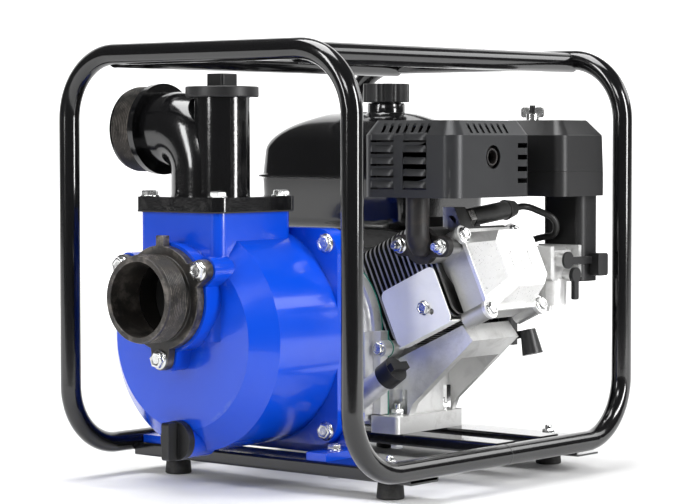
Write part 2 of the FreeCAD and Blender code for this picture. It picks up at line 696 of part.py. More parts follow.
def make_case():
    lugs = [along_y(x, z, lug_r, case_front_y, case_front_y + 18) for x, z in cover_bolt_points()]
    case = case_outline(case_front_y, case_rear_y)
    feet = []
    for x in mount_xs:
        feet.append(round_box(x - foot_half, x + foot_half, mount_ys[0] - foot_reach, mount_ys[1] + 14,
                              engine_base_z, foot_top_z, 5))
    seat = ubox(20, barrel_foot, case_front_y, case_rear_y, -58, 56)
    wedge_points = [(sump_right - 6, crank_z), (sump_right - 6, foot_top_z - 2), (58, foot_top_z - 2),
                    (64, 76), (142, 146), (128, 162)]
    wedge = prism(wedge_points, cylinder_y - 40, 80)
    wedge = wedge.cut(box(sump_right + 14, 120, cylinder_y - 30, cylinder_y + 34, 0, 134))
    barrel_space = ubox(barrel_foot, 240, cylinder_y - 60, cylinder_y + 60, -67, 100)
    case = case.fuse(feet + [seat, wedge]).cut(barrel_space).fuse(lugs)
    case = case.cut(case_hollow(case_front_y - 1, case_rear_y - 10))
    case = case.cut(ucyl(0, barrel_foot + 1, spigot_r + 0.02))
    case = case.cut(along_y(crank_x, crank_z, bearing_r, case_rear_y - bearing_width, case_rear_y + 1))
    for x in mount_xs:
        for y in mount_ys:
            case = case.cut(along_z(x, y, m8_hole_r, engine_base_z - 1, foot_top_z + 1))
            case = case.cut(along_z(x, y, 11, foot_top_z, foot_top_z + 26))
    for x, z in cover_bolt_points():
        case = case.cut(along_y(x, z, m6_r, case_front_y - 1, case_front_y + 20))
    parts["crankcase"] = case.removeSplitter()

    cover_y1 = case_front_y - gasket_thickness
    gasket = case_outline(cover_y1, case_front_y, 0.8)
    gasket = gasket.fuse([along_y(x, z, lug_r + 0.8, cover_y1, case_front_y) for x, z in cover_bolt_points()])
    gasket = gasket.cut(case_hollow(cover_y1 - 1, case_front_y + 1)).cut(feet)
    gasket = gasket.common(box(-250, 150, cover_y1 - 1, case_front_y + 1, engine_base_z, 400))
    for x, z in cover_bolt_points():
        gasket = gasket.cut(along_y(x, z, m6_r + 0.3, cover_y1 - 1, case_front_y + 1))
    parts["cover_gasket"] = max(gasket.removeSplitter().Solids, key=lambda solid: solid.Volume)

    flange_y0 = cover_y1 - 12
    cover = case_outline(flange_y0, cover_y1)
    cover = cover.fuse([along_y(x, z, lug_r, flange_y0, cover_y1) for x, z in cover_bolt_points()])
    cover = cover.fuse([cone_y(crank_x, crank_z, 62, 78, pto_face_y, flange_y0),
                        prism([(sump_left + 12, engine_base_z + 12), (sump_right - 10, engine_base_z + 12),
                               (sump_right - 10, crank_z), (sump_left + 12, crank_z)],
                              flange_y0 - 14, 14)])
    neck_start = Vector(oil_neck_x, oil_neck_y, oil_neck_z)
    neck_axis = oil_neck_axis()
    neck = Part.makeCylinder(12.5, oil_neck_length, neck_start, neck_axis)
    foot_space = [box(x - foot_half - 1, x + foot_half + 1, pto_face_y, case_front_y, engine_base_z,
                      foot_top_z + 1) for x in mount_xs]
    cover = cover.cut(foot_space).fuse(neck)
    cover = cover.cut(case_hollow(flange_y0 + 4, cover_y1 + 1))
    cover = cover.cut([along_y(crank_x, crank_z, bearing_r, cover_bearing_y, cover_y1 + 1),
                       along_y(crank_x, crank_z, 17, pto_face_y - 1, cover_bearing_y + 1)])
    oil_bore = Part.makeCylinder(9, oil_neck_length - 6 + 1, neck_start + neck_axis * 7, neck_axis)
    cover = cover.cut(oil_bore)
    for x, z in cover_bolt_points():
        cover = cover.cut(along_y(x, z, m6_r + 0.3, flange_y0 - 30, cover_y1 + 1))
        cover = cover.cut(along_y(x, z, 8, flange_y0 - 30, flange_y0))
    for angle in (45, 135, 225, 315):
        a = math.radians(angle)
        x = crank_x + pto_bolt_r * math.cos(a)
        z = crank_z + pto_bolt_r * math.sin(a)
        cover = cover.cut(along_y(x, z, m8_r, pto_face_y - 1, pto_face_y + 15))
    parts["crankcase_cover"] = cover.removeSplitter()
    cover_bolts = [bolt((x, flange_y0, z), (0, -1, 0), m6_r, m6_flats, m6_head, 28)
                   for x, z in cover_bolt_points()]

    # screw plug in the oil filler's neck
    grip = Part.makeCylinder(14, 18, Vector(0, 0, fit_gap))
    grip = grip.fuse([Part.makeCylinder(9 - shaft_gap, 18, Vector(0, 0, -17)),
                      box(-4, 4, -13, 13, 18, 25)])
    end = neck_start + neck_axis * oil_neck_length
    parts["oil_filler_plug"] = place(grip, (end.x, end.y, end.z), (neck_axis.x, neck_axis.y, neck_axis.z))

    bearings = []
    for y0 in (cover_bearing_y, case_rear_y - bearing_width):
        ring = along_y(crank_x, crank_z, bearing_r, y0, y0 + bearing_width)
        bore = along_y(crank_x, crank_z, journal_r + shaft_gap, y0 - 1, y0 + bearing_width + 1)
        bearings.append(ring.cut(bore))
    parts["crank_bearings"] = group(bearings)
    return cover_bolts


def oil_neck_axis():
    a = math.radians(oil_neck_slope)
    return Vector(math.cos(a), 0, math.sin(a))


def make_crank_train():
    front_web = cylinder_y - web_gap / 2
    rear_web = cylinder_y + web_gap / 2
    axis = (crank_x, crank_z)
    front_half = along_y(*axis, web_r, front_web - web_thickness, front_web)
    front_half = front_half.fuse([along_y(*axis, journal_r, cover_bearing_y, front_web),
                                  along_y(*axis, shaft_r, shaft_front_y, cover_bearing_y)])
    rear_half = along_y(*axis, web_r, rear_web, rear_web + web_thickness)
    rear_half = rear_half.fuse([along_y(*axis, journal_r, rear_web, case_rear_y + 6),
                                along_y(*axis, 12, case_rear_y + 6, flywheel_y1 + 12)])
    slots = []
    for s in (-1, 1):
        slot = box(crank_x - 4, crank_x + web_r + 1, 0, 150, crank_z + s * 44 - 18, crank_z + s * 44 + 18)
        slots.append(tilted(slot))
    parts["crankshaft"] = group([front_half.cut(slots), rear_half.cut(slots)])

    # flywheel with fan blades and the starter cup
    wheel = along_y(*axis, 84, flywheel_y0, flywheel_y1)
    wheel = wheel.cut(along_y(*axis, 70, flywheel_y0 - 1, flywheel_y0 + 12))
    wheel = wheel.fuse(along_y(*axis, 24, flywheel_y0, flywheel_y1))
    blades = []
    for i in range(16):
        blade = box(crank_x + 46, crank_x + 83, flywheel_y1, flywheel_y1 + 14, crank_z - 1.5, crank_z + 1.5)
        blade.rotate(Vector(crank_x, 0, crank_z), Vector(0, 1, 0), 22.5 * i)
        blades.append(blade)
    cup = along_y(*axis, 38, flywheel_y1, flywheel_y1 + 22)
    cup = cup.cut(along_y(*axis, 34, flywheel_y1 + 3, flywheel_y1 + 23))
    wheel = wheel.fuse(blades + [cup])
    wheel = wheel.cut(along_y(*axis, 12, flywheel_y0 - 1, flywheel_y1 + 30))
    nut = hexagon(22, 9)
    nut = place(nut, (crank_x, flywheel_y1 + 3, crank_z), (0, 1, 0))
    nut = nut.cut(along_y(*axis, 12, flywheel_y1, flywheel_y1 + 30))
    parts["flywheel"] = wheel.fuse(nut).removeSplitter()

    pin_u = throw + rod_length
    piston = ucyl(pin_u - skirt_drop, pin_u + crown_height, bore_r - shaft_gap)
    piston = piston.cut(ucyl(pin_u - skirt_drop - 1, pin_u + crown_height - 6, bore_r - 5))
    bosses = []
    for s in (-1, 1):
        y0, y1 = sorted((cylinder_y + s * 11.5, cylinder_y + s * 30.5))
        bosses.append(ucross(pin_u, 0, 14, y0, y1))
    piston = piston.fuse(bosses).common(ucyl(pin_u - skirt_drop, pin_u + crown_height, bore_r - shaft_gap))
    for u in (pin_u + 12, pin_u + 17):
        ring = ucyl(u, u + 1.6, bore_r + 1).cut(ucyl(u - 1, u + 3, bore_r - 2.2))
        piston = piston.cut(ring)
    piston = piston.cut(ucross(pin_u, 0, wrist_pin_r, cylinder_y - 40, cylinder_y + 40))
    parts["piston"] = piston.removeSplitter()
    pin = ucross(pin_u, 0, wrist_pin_r, cylinder_y - 30, cylinder_y + 30)
    parts["wrist_pin"] = pin.cut(ucross(pin_u, 0, 5, cylinder_y - 31, cylinder_y + 31))

    link = ucross(throw, 0, 21, cylinder_y - 11, cylinder_y + 11)
    link = link.fuse([ucross(pin_u, 0, 13, cylinder_y - 10, cylinder_y + 10),
                      ubox(throw, pin_u, cylinder_y - 5, cylinder_y + 5, -8, 8)])
    link = link.cut([ucross(throw, 0, crankpin_r, cylinder_y - 20, cylinder_y + 20),
                     ucross(pin_u, 0, wrist_pin_r + shaft_gap, cylinder_y - 20, cylinder_y + 20)])
    parts["connecting_rod"] = link.removeSplitter()
    parts["crankpin"] = ucross(throw, 0, crankpin_r, front_web + fit_gap, rear_web - fit_gap)


# ---- engine: cylinder, head, exhaust and intake -------------------------------------------------
def make_cylinder(cover_bolts):
    barrel = ucyl(barrel_foot - 6, barrel_foot, spigot_r)
    barrel = barrel.fuse([ubox(barrel_foot, barrel_foot + 7, fin_front, fin_back, -54, 54, 8),
                          ucyl(barrel_foot, barrel_top, bore_r + 8)])
    fins = []
    u = barrel_foot + 12
    while u + fin_thickness < barrel_top - 1:
        fins.append(ubox(u, u + fin_thickness, fin_front, fin_back, fin_low, fin_high, 12))
        u += fin_pitch
    barrel = barrel.fuse(fins).cut(ucyl(barrel_foot - 7, barrel_top + 1, bore_r))
    lug_space = [along_y(x, z, lug_r + 0.5, case_front_y - 1, case_front_y + 19)
                 for x, z in cover_bolt_points()]
    barrel = barrel.cut(lug_space)
    parts["cylinder_barrel"] = barrel.removeSplitter()

    shield = ubox(98, 174, shield_y, shield_y + shield_thickness, -64, -2, 8, "y")
    lip = ubox(98, 174, shield_y, shield_y + 16, -64, -64 + shield_thickness)
    shield = shield.fuse(lip)
    slot = ucross(shield_bolt_u, shield_bolt_v, m6_r + 1, shield_y - 1, shield_y + 3)
    shield = shield.cut([slot, ucross(shield_bolt_u + 7, shield_bolt_v - 7, 3.2, shield_y - 1, shield_y + 3)])
    parts["air_shield"] = shield.removeSplitter()
    at = upoint(shield_bolt_u, shield_y, shield_bolt_v)
    cover_bolts.append(bolt((at.x, at.y, at.z), (0, -1, 0), m6_r, m6_flats, m6_head, 12))

    head = ucyl(barrel_top, head_block_u, bore_r + 10)
    fins = []
    u = barrel_top
    while u + fin_thickness < head_block_u:
        fins.append(ubox(u, u + fin_thickness, fin_front, fin_back, fin_low, fin_high, 12))
        u += fin_pitch
    block = ubox(head_block_u, head_top, cylinder_y - 44, cylinder_y + 44, -66, 26, 10)
    exhaust_boss = along_y(exhaust_x, exhaust_z, 19, exhaust_face_y, cylinder_y - 17)
    stud_bosses = [along_y(exhaust_x + s * exhaust_stud_x, exhaust_z, 8, exhaust_face_y, cylinder_y)
                   for s in (-1, 1)]
    intake_boss = box(intake_x - 26, intake_x + 21, cylinder_y + 30, intake_face_y, intake_z - 17,
                      intake_z + 17)
    plug_lug = box(plug_x - 13, plug_x + 11, plug_y - 20, plug_y, 236, plug_z + 12)
    shield_boss = ucross(shield_bolt_u, shield_bolt_v, 7, shield_y + shield_thickness, cylinder_y - 40)
    head = head.fuse(fins + [block, exhaust_boss, intake_boss, plug_lug, shield_boss] + stud_bosses)
    head = head.cut(ubox(head_top, 300, -200, 300, -150, 150))
    corner_bolts = [(cover_low + 10, -cover_half_y + 10), (cover_low + 10, cover_half_y - 10),
                    (cover_high - 8, -cover_half_y + 10), (cover_high - 8, cover_half_y - 10)]
    head = head.fuse([ucyl(head_block_u, head_top, 9, cylinder_y + dy, v) for v, dy in corner_bolts])
    studs = []
    head = head.cut(ucross(shield_bolt_u, shield_bolt_v, m6_r, shield_y, shield_y + 16))
    head = head.cut(along_y(exhaust_x, exhaust_z, 12, exhaust_face_y - 1, exhaust_face_y + 30))
    head = head.cut(along_y(intake_x, intake_z, 11, intake_face_y - 30, intake_face_y + 1))
    for s in (-1, 1):
        x = exhaust_x + s * exhaust_stud_x
        head = head.cut(along_y(x, exhaust_z, m8_r, exhaust_face_y - 1, exhaust_face_y + 16))
        seat = (x, exhaust_face_y - 8, exhaust_z)
        studs.append(nut_on_stud(seat, (0, -1, 0), m8_r, m8_flats, m8_head, 22, 12))
    for v, dy in corner_bolts:
        head = head.cut(ucyl(head_top - 16, head_top + 1, m6_r, cylinder_y + dy, v))
        at = upoint(head_top + cover_flange_u, cylinder_y + dy, v)
        out = upoint(1, 0, 0) - upoint(0, 0, 0)
        cover_bolts.append(bolt((at.x, at.y, at.z), (out.x, out.y, out.z), m6_r, m6_flats, m6_head, 18))
    head = head.cut([place(Part.makeCylinder(6, 20, Vector(0, 0, -20)), plug_point(), plug_axis()),
                     place(Part.makeCylinder(12, 30), plug_point(), plug_axis())])
    parts["cylinder_head"] = head.removeSplitter()
    parts["exhaust_nuts"] = group(studs)

    flange = ubox(head_top, head_top + cover_flange_u, cylinder_y - 46, cylinder_y + 46, cover_low + 8,
                  cover_high - 2, 12)
    ears = [ucyl(head_top, head_top + cover_flange_u, 10, cylinder_y + dy, v) for v, dy in corner_bolts]
    dome = cover_dome(0.0).cut(cover_dome(3.0))
    rocker = flange.fuse(ears).cut(ubox(head_top - 1, head_top + cover_flange_u + 1, cylinder_y - 34,
                                        cylinder_y + 34, cover_low + 18, cover_high - 12))
    rocker = rocker.fuse(dome)
    for v, dy in corner_bolts:
        rocker = rocker.cut(ucyl(head_top - 1, head_top + 40, m6_r + 0.3, cylinder_y + dy, v))
        rocker = rocker.cut(ucyl(head_top + cover_flange_u, head_top + 40, 8, cylinder_y + dy, v))
    parts["rocker_cover"] = rocker.removeSplitter()


def cover_dome(inset):
    """Raised part of the rocker cover: a large foot drawn in to a smaller, bevelled face."""
    def outline(u, half_y, low, high, cut):
        pts = [(-half_y, low + cut), (-half_y + cut, low), (half_y - cut, low), (half_y, low + cut),
               (half_y, high - cut), (half_y - cut, high), (-half_y + cut, high), (-half_y, high - cut)]
        vs = [upoint(u, cylinder_y + y, v) for y, v in pts]
        vs.append(vs[0])
        return Part.makePolygon(vs)
    foot_u = head_top + (cover_flange_u if inset == 0 else 0) - (1 if inset else 0)
    foot = outline(foot_u, 44 - inset, cover_low + 12 + inset, cover_high - 6 - inset, 12)
    face = outline(head_top + 32 - inset, 33 - inset, cover_low + 22 + inset, cover_high - 16 - inset, 11)
    return Part.makeLoft([foot, face], True, True)


def plug_axis():
    v = Vector(0.1, 0.98, 0.12).normalize()
    return (v.x, v.y, v.z)


def plug_point():
    return (plug_x, plug_y, plug_z)


def make_exhaust():
    flange_y0 = exhaust_face_y - 8
    flange = along_y(exhaust_x, exhaust_z, 19, flange_y0, exhaust_face_y)
    for s in (-1, 1):
        x = exhaust_x + s * exhaust_stud_x
        flange = flange.fuse(along_y(x, exhaust_z, 11, flange_y0, exhaust_face_y))
    flange = flange.fuse(box(exhaust_x - exhaust_stud_x, exhaust_x + exhaust_stud_x, flange_y0,
                             exhaust_face_y, exhaust_z - 11, exhaust_z + 11))
    points = [Vector(exhaust_x, exhaust_face_y, exhaust_z), Vector(exhaust_pipe_x, exhaust_pipe_y, exhaust_z),
              Vector(exhaust_pipe_x, exhaust_pipe_y, muffler_low)]
    outer = pipe(bent_path(points, lambda i, p, turn: 14), 12)
    inner_points = [points[0] + (points[0] - points[1]).normalize(), points[1], points[2] + Vector(0, 0, 1)]
    inner = pipe(bent_path(inner_points, lambda i, p, turn: 14), 10)
    elbow = flange.fuse(outer).cut(inner).cut(box(0, 200, exhaust_face_y, 60, 200, 280))
    for s in (-1, 1):
        x = exhaust_x + s * exhaust_stud_x
        elbow = elbow.cut([along_y(x, exhaust_z, m8_hole_r, flange_y0 - 1, exhaust_face_y + 1)])
    parts["exhaust_pipe"] = elbow.removeSplitter()

    body = round_box(guard_x0 + 8, guard_x1 - 8, guard_y0 + 8, guard_y1 - 8, muffler_low, muffler_high, 14)
    body = body.makeFillet(5, [e for e in body.Edges if abs(e.BoundBox.ZMax - e.BoundBox.ZMin) < 1e-6])
    tail = rod(guard_x1 - 9, tail_y, tail_z, (1, 0, 0), 9, 8)
    chamber = round_box(guard_x0 + 10, guard_x1 - 10, guard_y0 + 10, guard_y1 - 10, muffler_low + 2,
                        muffler_high - 2, 12)
    body = body.fuse(tail).cut([chamber, rod(guard_x1 - 20, tail_y, tail_z, (1, 0, 0), 7, 30),
                                along_z(exhaust_pipe_x, exhaust_pipe_y, 10, muffler_low - 1,
                                        muffler_low + 20)])
    clips = [box(guard_x0 + 1.5, guard_x0 + 10, y, y + 14, muffler_low + 18, muffler_low + 24)
             for y in (guard_y0 + 30, guard_y1 - 44)]
    clips += [box(guard_x1 - 10, guard_x1 - 1.5, y, y + 14, muffler_low + 18, muffler_low + 24)
              for y in (guard_y0 + 24, guard_y1 - 44)]
    clips.append(box(guard_x0 + 40, guard_x0 + 60, guard_y0 + 1.5, guard_y0 + 12, muffler_low + 18,
                     muffler_low + 24))
    parts["muffler"] = body.fuse(clips).removeSplitter()

    shell = guard_shell(0.0).cut(guard_shell(guard_thickness))
    shell = shell.cut(box(guard_x0 - 5, guard_x1 + 5, guard_y0 - 5, guard_y1 + 5, guard_z0 - 10, guard_z0))
    cuts = []
    for i in range(7):
        x = guard_x0 + 26 + i * 9.5
        cuts.append(box(x, x + 4, guard_y0 - 2, guard_y0 + 8, guard_z1 - 13, guard_z1 - 3))
        y = guard_y0 + 28 + i * 10
        cuts.append(box(guard_x1 - 8, guard_x1 + 2, y, y + 4, guard_z1 - 13, guard_z1 - 3))
    for row in range(4):
        z = guard_z0 + 14 + row * 12
        cuts.append(box(guard_x1 - 4, guard_x1 + 2, guard_y1 - 28, guard_y1 - 10, z, z + 5))
    for row in range(5):
        z = guard_z0 + 8 + row * 12
        for col in range(2):
            x = guard_x0 + 14 + col * 42
            cuts.append(box(x, x + 30, guard_y0 - 2, guard_y0 + 4, z, z + 3))
    cuts.append(rod(guard_x1 - 4, tail_y, tail_z, (1, 0, 0), 12, 8))
    parts["muffler_guard"] = shell.cut(cuts).removeSplitter()


def guard_shell(inset):
    """Pressed cover with rounded uprights and a sloped edge round its top."""
    def outline(z, shrink, r):
        x0, x1 = guard_x0 + shrink, guard_x1 - shrink
        y0, y1 = guard_y0 + shrink, guard_y1 - shrink
        plate = round_box(x0, x1, y0, y1, z, z + 1, r)
        return [f for f in plate.Faces if abs(f.CenterOfMass.z - z) < 1e-6][0].OuterWire
    base = outline(guard_z0 - (2 if inset else 0), inset, 16 - inset)
    shoulder = outline(guard_z1 - 15 - inset / 2, inset, 16 - inset)
    top = outline(guard_z1 - inset, 10 + inset / 2, 10)
    lower = Part.makeLoft([base, shoulder], True, True)
    upper = Part.makeLoft([shoulder, top], True, True)
    return lower.fuse(upper).removeSplitter()


def make_intake():
    # carburettor: bore body, mounting flange and float bowl
    y0 = intake_face_y
    body = box(intake_x - 26, intake_x + 26, y0, y0 + 6, intake_z - 17, intake_z + 17)
    body = body.fuse([along_y(intake_x, intake_z, 17, y0, carb_y1),
                      box(intake_x - 17, intake_x + 18, y0 + 14, carb_y1 - 8, intake_z - 20, intake_z + 12),
                      box(intake_x - 26, intake_x + 26, carb_y1 - 5, carb_y1, intake_z - 17, intake_z + 17),
                      along_z(intake_x, bowl_y, 20, intake_z - 46, intake_z - 18),
                      along_z(intake_x, bowl_y, 5, intake_z - 53, intake_z - 46),
                      rod(intake_x + 16, bowl_y - 6, intake_z + 2, (1, 0, 0), 7, 12 - fit_gap),
                      rod(intake_x + 16, bowl_y + 6, intake_z - 14, (1, 0, 0), 6, 12 - fit_gap)])
    body = body.cut(along_y(intake_x, intake_z, 11, y0 - 1, carb_y1 + 1))
    parts["carburettor"] = body.removeSplitter()
    # choke lever: a flat arm with a knob
    lever_x = intake_x + 28
    pivot_y, pivot_z = bowl_y - 6, intake_z + 2
    arm = rod(lever_x, pivot_y, pivot_z, (1, 0, 0), 9, 3)
    arm = arm.fuse(box(lever_x, lever_x + 3, pivot_y, pivot_y + 50, pivot_z - 5, pivot_z + 3))
    arm = arm.fuse(round_box(lever_x, lever_x + 12, pivot_y + 42, pivot_y + 60, pivot_z - 18, pivot_z + 6,
                             3, "x"))
    parts["choke_lever"] = arm.removeSplitter()
    tap_y, tap_z = bowl_y + 6, intake_z - 14
    tap = rod(lever_x, tap_y, tap_z, (1, 0, 0), 8, 5)
    tap = tap.fuse(round_box(lever_x, lever_x + 5, tap_y - 4, tap_y + 4, tap_z - 26, tap_z, 2, "x"))
    parts["fuel_tap_lever"] = tap.removeSplitter()

    # air cleaner: pan with its elbow, filter, cover, wing nut
    duct_y0 = carb_y1
    elbow = round_box(intake_x - 26, intake_x + 26, duct_y0, duct_y0 + 34, intake_z - 22, pan_z0 + 1, 9)
    pan = round_box(pan_x0, pan_x1, pan_y0, pan_y1, pan_z0, pan_z1, 12)
    base = elbow.fuse(pan)
    base = base.cut([round_box(pan_x0 + 3, pan_x1 - 3, pan_y0 + 3, pan_y1 - 3, pan_z0 + 3, pan_z1 + 1, 9),
                     box(intake_x - 20, intake_x + 20, duct_y0 + 4, duct_y0 + 29, intake_z - 17, pan_z0 + 5),
                     along_y(intake_x, intake_z, 11, duct_y0 - 1, duct_y0 + 6)])
    stud = along_z(wing_x, wing_y, m6_r, pan_z0 + 2, cover_top_z + 16)
    base = base.fuse(stud)
    parts["air_cleaner_base"] = base.removeSplitter()
    element = round_box(pan_x0 + 10, pan_x1 - 10, pan_y0 + 10, pan_y1 - 10, pan_z0 + 3, pan_z1 + 22, 10)
    middle = round_box(pan_x0 + 26, pan_x1 - 26, pan_y0 + 24, pan_y1 - 24, pan_z0, pan_z1 + 23, 6)
    element = element.cut(middle)
    element = element.cut(along_z(wing_x, wing_y, 5, pan_z0, cover_top_z))
    element = element.cut(along_z(wing_x, wing_y, 10, pan_z0, pan_z1))
    parts["air_filter"] = element
    shell = cleaner_cover(0.0).cut(cleaner_cover(2.5))
    shell = shell.cut(along_z(wing_x, wing_y, m6_r + 0.3, pan_z1, cover_top_z + 2))
    parts["air_cleaner_cover"] = shell.removeSplitter()
    wing = along_z(wing_x, wing_y, 7, cover_top_z + fit_gap, cover_top_z + 7)
    wing = wing.fuse([round_box(wing_x - 14, wing_x - 4, wing_y - 1.5, wing_y + 1.5, cover_top_z + 3,
                                cover_top_z + 14, 3, "y"),
                      round_box(wing_x + 4, wing_x + 14, wing_y - 1.5, wing_y + 1.5, cover_top_z + 3,
                                cover_top_z + 14, 3, "y")])
    parts["air_cleaner_wing_nut"] = wing.cut(
        along_z(wing_x, wing_y, m6_r + shaft_gap, cover_top_z - 1, cover_top_z + 15)).removeSplitter()


def cleaner_cover(inset):
    """Cover with a bevelled top."""
    def outline(z, shrink, r):
        plate = round_box(pan_x0 + shrink, pan_x1 - shrink, pan_y0 + shrink, pan_y1 - shrink, z, z + 1, r)
        return [f for f in plate.Faces if abs(f.CenterOfMass.z - z) < 1e-6][0].OuterWire
    bottom = outline(pan_z1 - (2 if inset else 0), inset, 12 - inset)
    shoulder = outline(cover_top_z - 16 - inset / 2, inset + 1, 12 - inset)
    top = outline(cover_top_z - inset, 14 + inset / 2, 8)
    return Part.makeLoft([bottom, shoulder], True, True).fuse(Part.makeLoft([shoulder, top], True, True))


def make_ignition():
    axis = Vector(*plug_axis())
    at = Vector(*plug_point())
    body = Part.makeCylinder(6 - 0.02, 12, Vector(0, 0, -12))
    hexed = hexagon(18, 8)
    stem = Part.makeCylinder(5, 30)
    parts["spark_plug"] = place(body.fuse([hexed, stem]), plug_point(), plug_axis())
    boot = Part.makeCylinder(9.5, 60, Vector(0, 0, 8.5))
    boot = boot.fuse(Part.makeCone(11, 8, 14, Vector(0, 0, 62)))
    boot = boot.cut(Part.makeCylinder(5, 24, Vector(0, 0, 7)))
    parts["spark_plug_boot"] = place(boot, plug_point(), plug_axis())
    start = at + axis * 76
    lead_points = [start, start + axis * 20, Vector(149, 176, 268), Vector(145, 183, 250),
                   Vector(118, 182, 246), Vector(90, 184, 234), Vector(lead_end_x - 4, 186, 218)]

    def lead_radius(i, points, half_turn):
        before = (points[i] - points[i - 1]).Length
        after = (points[i + 1] - points[i]).Length
        return 0.45 * min(before, after) / math.tan(half_turn)

    path = bent_path(lead_points, lead_radius)
    lead_stop = box(lead_end_x - 30, lead_end_x, 170, 200, 190, 240)
    parts["spark_plug_lead"] = pipe(path, 3.5).cut(lead_stop)


# ---- fuel tank, fan housing and starter ---------------------------------------------------------
def make_tank():
    def outline(z, sx, sy, r):
        plate = round_box(tank_x0 + sx, tank_x1 - sx, tank_y0 + sy, tank_y1 - sy, z, z + 1, r)
        return [f for f in plate.Faces if abs(f.CenterOfMass.z - z) < 1e-6][0].OuterWire

    def body(inset):
        low = outline(tank_z0 + inset, 8 + inset, 8 + inset, 14)
        seam = outline(tank_seam_z, inset, inset, 20)
        shoulder = outline(tank_top_z - 30, inset + 2, inset + 2, 20)
        top = outline(tank_top_z - inset, 34 + inset, 24 + inset, 14)
        shape = Part.makeLoft([low, seam], True, True)
        shape = shape.fuse(Part.makeLoft([seam, shoulder], True, True))
        return shape.fuse(Part.makeLoft([shoulder, top], True, True))

    lip = round_box(tank_x0 - 3, tank_x1 + 3, tank_y0 - 3, tank_y1 + 3, tank_seam_z - 2, tank_seam_z + 2, 22)
    neck = along_z(cap_x, cap_y, 20, tank_top_z - 2, tank_top_z + 9)
    tank = body(0.0).fuse([lip, neck]).cut(body(2.5))
    tank = tank.cut(along_z(cap_x, cap_y, 16, tank_top_z - 6, tank_top_z + 10))
    parts["fuel_tank"] = tank.removeSplitter()
    cap = along_z(cap_x, cap_y, 25, tank_top_z + 10, tank_top_z + 30)
    lobes = []
    for i in range(8):
        a = math.radians(45 * i + 22.5)
        lobes.append(along_z(cap_x + 27 * math.cos(a), cap_y + 27 * math.sin(a), 6, tank_top_z + 9,
                             tank_top_z + 31))
    cap = cap.cut(lobes)
    cap = cap.fuse(along_z(cap_x, cap_y, 16 - shaft_gap, tank_top_z, tank_top_z + 12))
    parts["fuel_cap"] = cap.removeSplitter()


